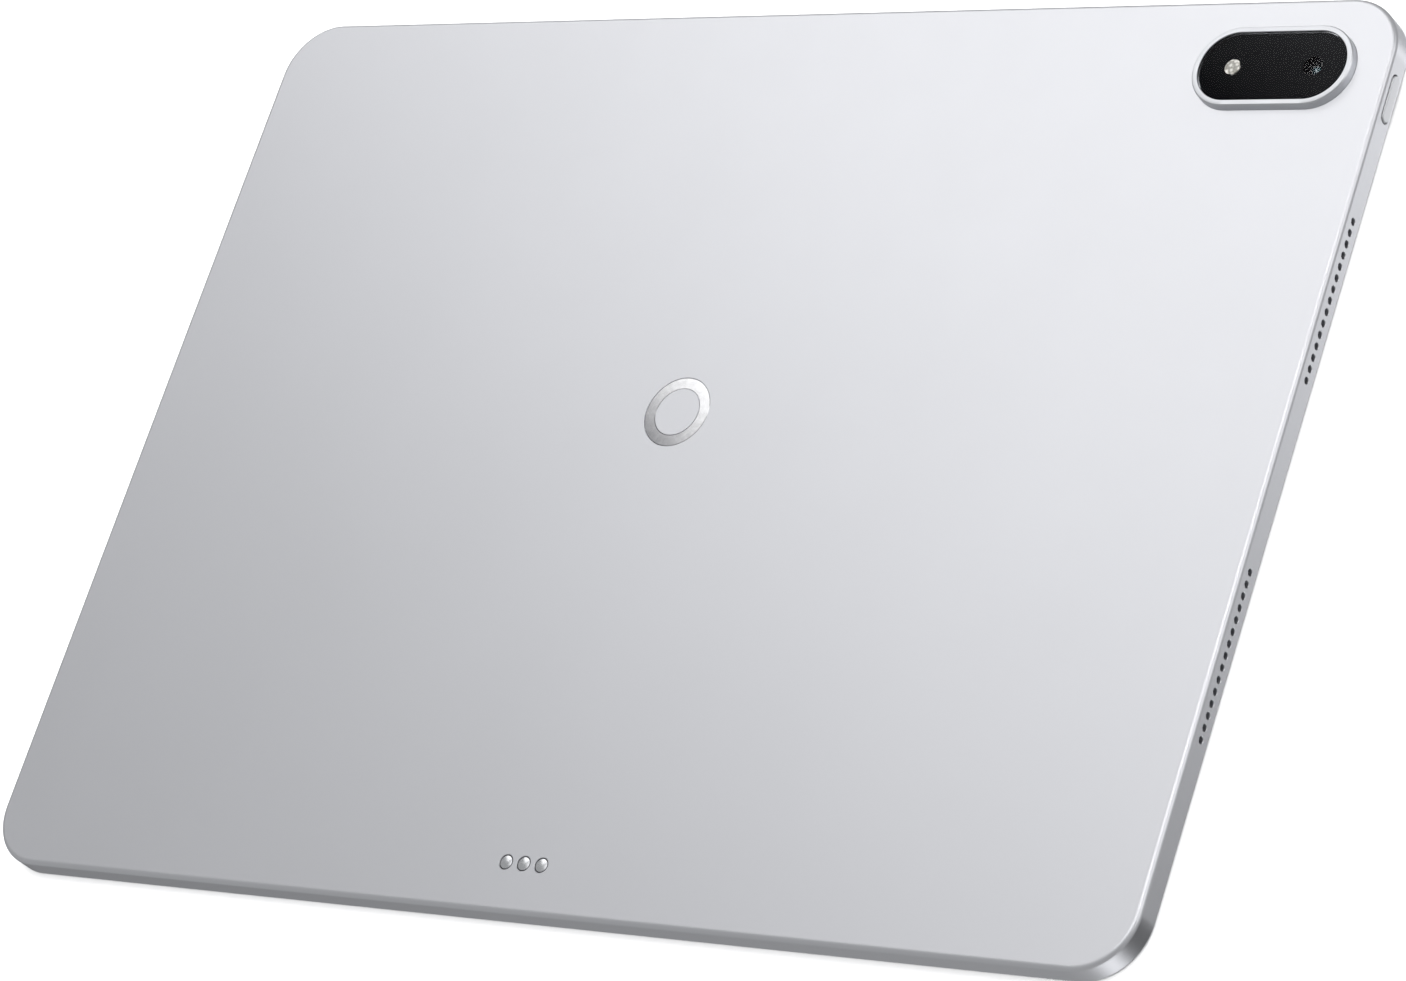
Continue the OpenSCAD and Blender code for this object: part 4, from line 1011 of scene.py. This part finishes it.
def lens_barrel():
    base_size = camera_high.x - camera_low.x
    base = slab(
        "camera_base", base_size, base_size, 0.8 * MM,
        slab_section(camera_low.z, camera_base_top, 0.1 * MM, 0.25 * MM, 4), 8,
    )
    bore = lens_radius + 0.03 * MM
    thread = []
    for i in range(6):
        height = camera_high.z - 1.3 * MM + i * 0.16 * MM
        thread += [(BARREL_RADIUS, height), (BARREL_RADIUS - 0.08 * MM, height + 0.08 * MM)]
    foot = camera_base_top - OVERSHOOT
    profile = [(bore, foot), (BARREL_RADIUS, foot)] + thread + [
        (BARREL_RADIUS, camera_high.z - 0.2 * MM), (BARREL_RADIUS - 0.2 * MM, camera_high.z),
        (bore + 0.25 * MM, camera_high.z), (bore, camera_high.z - 0.12 * MM),
    ]
    well = turned("well", [(bore, camera_low.z + 0.5 * MM), (bore, camera_base_top + OVERSHOOT)], 48)
    cut(base, [well])
    barrel = turned_band("barrel", profile, 64)
    return cut(base, [barrel], "UNION")


barrel = move(lens_barrel(), camera_x, island_y)
barrel.name = "lens_barrel"
dress(smooth(barrel), "black_plastic", "camera_module", finish="lens_black")

front_foot = lens_high.z - 0.9 * MM
front_lens = turned("front_lens", [(lens_radius * 0.6, front_foot)] + dome(
    lens_radius, FRONT_CURVE, front_foot + 0.01 * MM, lens_high.z), 64)
smooth(move(front_lens, camera_x, island_y))
dress(let_light_through(front_lens), "window_glass", "camera_lens")

cone_floor = front_foot - CONE_DEPTH


def stepped_cone():
    """The black baffle behind the front lens: each step hides the light that the next one would mirror."""
    top = front_foot - 0.02 * MM
    wide = lens_radius * 0.92
    step = (cone_floor - top) / CONE_STEPS
    steps = []
    for i in range(CONE_STEPS):
        radius = wide + (IRIS_RADIUS - wide) * i / CONE_STEPS
        steps += [(radius, top + step * i), (radius, top + step * (i + 1))]
    under = cone_floor - 0.15 * MM
    back = [(IRIS_RADIUS, cone_floor), (IRIS_RADIUS, under), (lens_radius, under)]
    return turned_band("lens_baffle", [(lens_radius, top)] + steps + back, 64)


baffle = move(stepped_cone(), camera_x, island_y)
dress(smooth(baffle), "black_plastic", finish="lens_black")

iris_top = front_foot - 0.12 * MM
iris_profile = dome(IRIS_RADIUS - 0.02 * MM, IRIS_CURVE, cone_floor - 0.6 * MM, iris_top)
iris_lens = turned("iris_lens", iris_profile, 48)
smooth(move(iris_lens, camera_x, island_y))
dress(iris_lens, "lens_glass")

# %% [markdown]
# The flash is a moulded lens with rings cut in its face, which spread the light of the small emitter below
# it. The rings are real steps in the turned profile, because they catch the room light in fine arcs.
# %% Make the flash lens
FLASH_RINGS = 7
RING_DEPTH = 0.035 * MM
FOOT_RADIUS = 2.25 * MM
FOOT_HEIGHT = 0.4 * MM


def flash_profile():
    points = [(FOOT_RADIUS, flash_low.z), (FOOT_RADIUS, flash_low.z + FOOT_HEIGHT)]
    points += [(FLASH_RADIUS, flash_low.z + FOOT_HEIGHT), (FLASH_RADIUS, flash_high.z - 0.34 * MM)]
    face = FLASH_RADIUS - 0.08 * MM
    for i in range(FLASH_RINGS):
        outer = face * (1 - i / FLASH_RINGS)
        inner = face * (1 - (i + 0.9) / FLASH_RINGS)
        crown = flash_high.z - 0.24 * MM * (outer / FLASH_RADIUS) ** 2 - RING_DEPTH
        points += [(outer, crown), (max(inner, face * 0.01), crown + RING_DEPTH)]
    return points


flash = move(turned("flash_lens", flash_profile(), 72), flash_x, island_y)
dress(smooth(flash), "diffuser", "flash_diffuser")

# %% [markdown]
# ## Emblem and contacts
# The emblem is a plain ring, let into the back and polished with it. The three keyboard contacts are turned
# pins with low domes. Both are small mirrors in a silky field, so their edges are eased to catch a thin
# line of light.
# %% Make the inlay
EASE = 0.03 * MM
INLAY_EASE = 0.14 * MM


def inlay_profile():
    outer, inner = emblem_radius, emblem_radius - EMBLEM_BAND
    low, top = emblem_low.z, emblem_high.z
    return [
        (outer, low), (outer, top - INLAY_EASE), (outer - INLAY_EASE, top),
        (inner + INLAY_EASE, top), (inner, top - INLAY_EASE), (inner, low),
    ]


inlay = move(turned_band("emblem_ring", inlay_profile(), 160), 0, emblem_y)
# the emblem's finish carries painted shade and reflection, dark to pale across the ring
dress(smooth(inlay, math.radians(20)), "polished_inlay", "emblem_inlay")

# %% Make the three contacts
CONTACT_CURVE = 6.0 * MM
CONTACT_SHOULDER = 0.16 * MM


def contact_pin():
    radius = contact_size / 2
    stem = 0.7 * MM
    head_low = contact_high.z - 1.05 * MM
    crown = dome(radius - CONTACT_SHOULDER, CONTACT_CURVE, contact_low.z, contact_high.z, 9)[1:]
    shoulder_z = crown[0][1]
    profile = [
        (stem, contact_low.z), (stem, head_low), (radius - EASE, head_low), (radius, head_low + EASE),
        (radius, shoulder_z - 0.7 * CONTACT_SHOULDER),
        (radius - 0.3 * CONTACT_SHOULDER, shoulder_z - 0.2 * CONTACT_SHOULDER),
    ]
    return turned("contact_pin", profile + crown, 64)


pins = join([move(contact_pin(), x, contact_y) for x in contact_spots], "contact_pins")
dress(smooth(pins, math.radians(40)), "contact_plating", "keyboard_contacts")

# %% [markdown]
# ## Keys
# Each key is a bar with round ends that fills its slot with an even gap. It keeps a flat face, so that a
# finger can find it, and only its rim is rounded. Two ears behind the wall hold it in, and a short stem
# reaches the dome switch. The power button slides straight in. The rocker tilts about the pivot at its
# middle, so its ears need the whole gap behind the wall: the cap reaches down into the ears, and the ears
# stop at the gap.
# %% Make both keys
KEY_ROUND = 0.28 * MM
EAR_HEIGHT = 0.5 * MM
EAR_GAP = 0.3 * MM
EAR_OVERLAP = 0.15 * MM
STEM_SIDE = 1.4 * MM
KEY_EASE = 0.1 * MM
PIVOT_RADIUS = 0.4 * MM
ROCKER_STEM = -2.67 * MM
SWITCH_OFFSET = 7.5 * MM


def key_piece(name, length, proud, reach, stem_spots, stem_reach):
    """A key drawn face up. Height 0 is the side band, proud is above it and reach is the deepest point."""
    under = -KEY_WALL - EAR_GAP
    section = slab_section(under - EAR_OVERLAP, proud, 0.05 * MM, KEY_ROUND, 7, 2.2)
    cap = slab(name, length, key_width, key_width / 2, section, 24)
    ear_section = [(0, under - EAR_HEIGHT), (0, under)]
    ear = slab("ear", length + 2 * EAR_REACH, key_width - 2 * KEY_EASE, KEY_EASE, ear_section, 2)
    cut(cap, [ear], "UNION")
    stem_section = [(0, stem_reach), (0, under - EAR_HEIGHT + EAR_OVERLAP)]
    stems = []
    for spot in stem_spots:
        stems.append(move(slab("stem", STEM_SIDE, STEM_SIDE, KEY_EASE, stem_section, 2), spot, 0))
    if reach < stem_reach - 0.01 * MM:
        half = key_width / 2 - KEY_EASE
        pivot = turned("pivot", [(PIVOT_RADIUS, -half), (PIVOT_RADIUS, half)], 24)
        place(pivot, Matrix.Translation((0, 0, reach + PIVOT_RADIUS)) @ Matrix.Rotation(math.pi / 2, 4, "X"))
        stems.append(pivot)
    return cut(cap, stems, "UNION")


power_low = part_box("power_button")[0]
rocker_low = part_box("volume_rocker")[0]
power_reach = power_low.x - half_x
rocker_reach = rocker_low.y - half_y

power_key = key_piece(
    "power_key", power_length, power_high.x - half_x, power_reach, [0], power_reach)
place(power_key, facing((1, 0, 0), key_sides["power"][1]))
dress(smooth(power_key), "key_aluminium", "power_button", body="power_key")

rocker_stems = [-SWITCH_OFFSET, SWITCH_OFFSET]
rocker_key = key_piece(
    "volume_key", rocker_length, rocker_high.y - half_y, rocker_reach, rocker_stems, ROCKER_STEM)
place(rocker_key, facing((0, 1, 0), key_sides["rocker"][1]))
dress(smooth(rocker_key), "key_aluminium", "volume_rocker", body="volume_key")

# %% [markdown]
# ## The data socket
# A drawn steel shell with a rolled lip fills the slot in the short side. The tongue inside carries a row of
# gold contacts on each face. The contacts are tiny, but at a low angle they are what tells a socket from a
# dark hole.
# %% Make the shell, the tongue and its contacts
SHELL_WALL = 0.3 * MM
LIP_EASE = 0.1 * MM
TONGUE_WIDTH = 6.69 * MM
TONGUE_HEIGHT = 0.7 * MM
TONGUE_BASE = 0.8 * MM
PAD_COUNT = 12
PAD_PITCH = 0.5 * MM
PAD_SIZE = (0.25 * MM, 3.2 * MM, 0.03 * MM)
tongue_low, tongue_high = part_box("usb_tongue")


def socket_shell():
    depth = socket_size.x
    section = [
        (0, -depth), (0, -LIP_EASE), (LIP_EASE * 0.3, -LIP_EASE * 0.3), (LIP_EASE, 0),
        (SHELL_WALL - LIP_EASE, 0), (SHELL_WALL - LIP_EASE * 0.3, -LIP_EASE * 0.3), (SHELL_WALL, -LIP_EASE),
        (SHELL_WALL, SHELL_WALL - depth),
    ]
    shell = slab_band("socket_sleeve", socket_size.y, socket_size.z, socket_size.z / 2, section, 20)
    back_section = [(0, -depth), (0, SHELL_WALL - depth)]
    back = slab("socket_back", socket_size.y, socket_size.z, socket_size.z / 2, back_section, 20)
    sleeve_with_back = cut(shell, [back], "UNION")
    sleeve_with_back.name = "socket_shell"
    return place(sleeve_with_back, facing((-1, 0, 0), (socket_low.x, socket_middle.y, socket_middle.z)))


dress(smooth(socket_shell()), "thin_steel", "usb_shell")


def socket_tongue():
    reach = tongue_high.x - tongue_low.x
    tip = slab_section(-TONGUE_HEIGHT / 2, TONGUE_HEIGHT / 2, 0.12 * MM, 0.12 * MM, 3)
    blade = slab("socket_tongue", TONGUE_WIDTH, reach, 0.5 * MM, tip, 6)
    move(blade, 0, -reach / 2)
    place(blade, Matrix.Rotation(math.pi / 2, 4, "X"))
    width = tongue_high.y - tongue_low.y
    height = tongue_high.z - tongue_low.z
    base = slab("tongue_base", width, height, height / 2, [(0, -reach), (0, -reach + TONGUE_BASE)], 16)
    return cut(blade, [base], "UNION")


tongue = socket_tongue()
tongue_spot = (tongue_low.x, (tongue_low.y + tongue_high.y) / 2, (tongue_low.z + tongue_high.z) / 2)
place(tongue, facing((-1, 0, 0), tongue_spot))
dress(smooth(tongue), "black_plastic", "usb_tongue")


def socket_pads():
    pads = []
    width, length, thickness = PAD_SIZE
    for face in (-1, 1):
        for i in range(PAD_COUNT):
            across = (i - (PAD_COUNT - 1) / 2) * PAD_PITCH
            height = face * (TONGUE_HEIGHT / 2 - thickness / 4)
            pad = slab("pad", width, thickness, thickness / 3, [(0, -length), (0, -0.35 * MM)], 2)
            pads.append(move(pad, across, height))
    return join(pads, "socket_pads")


polished_metal("gold_plating", (0.83, 0.62, 0.30), 0.18, 0.28)
pads = place(socket_pads(), facing((-1, 0, 0), tongue_spot))
dress(smooth(pads), "contact_plating", finish="gold_plating")
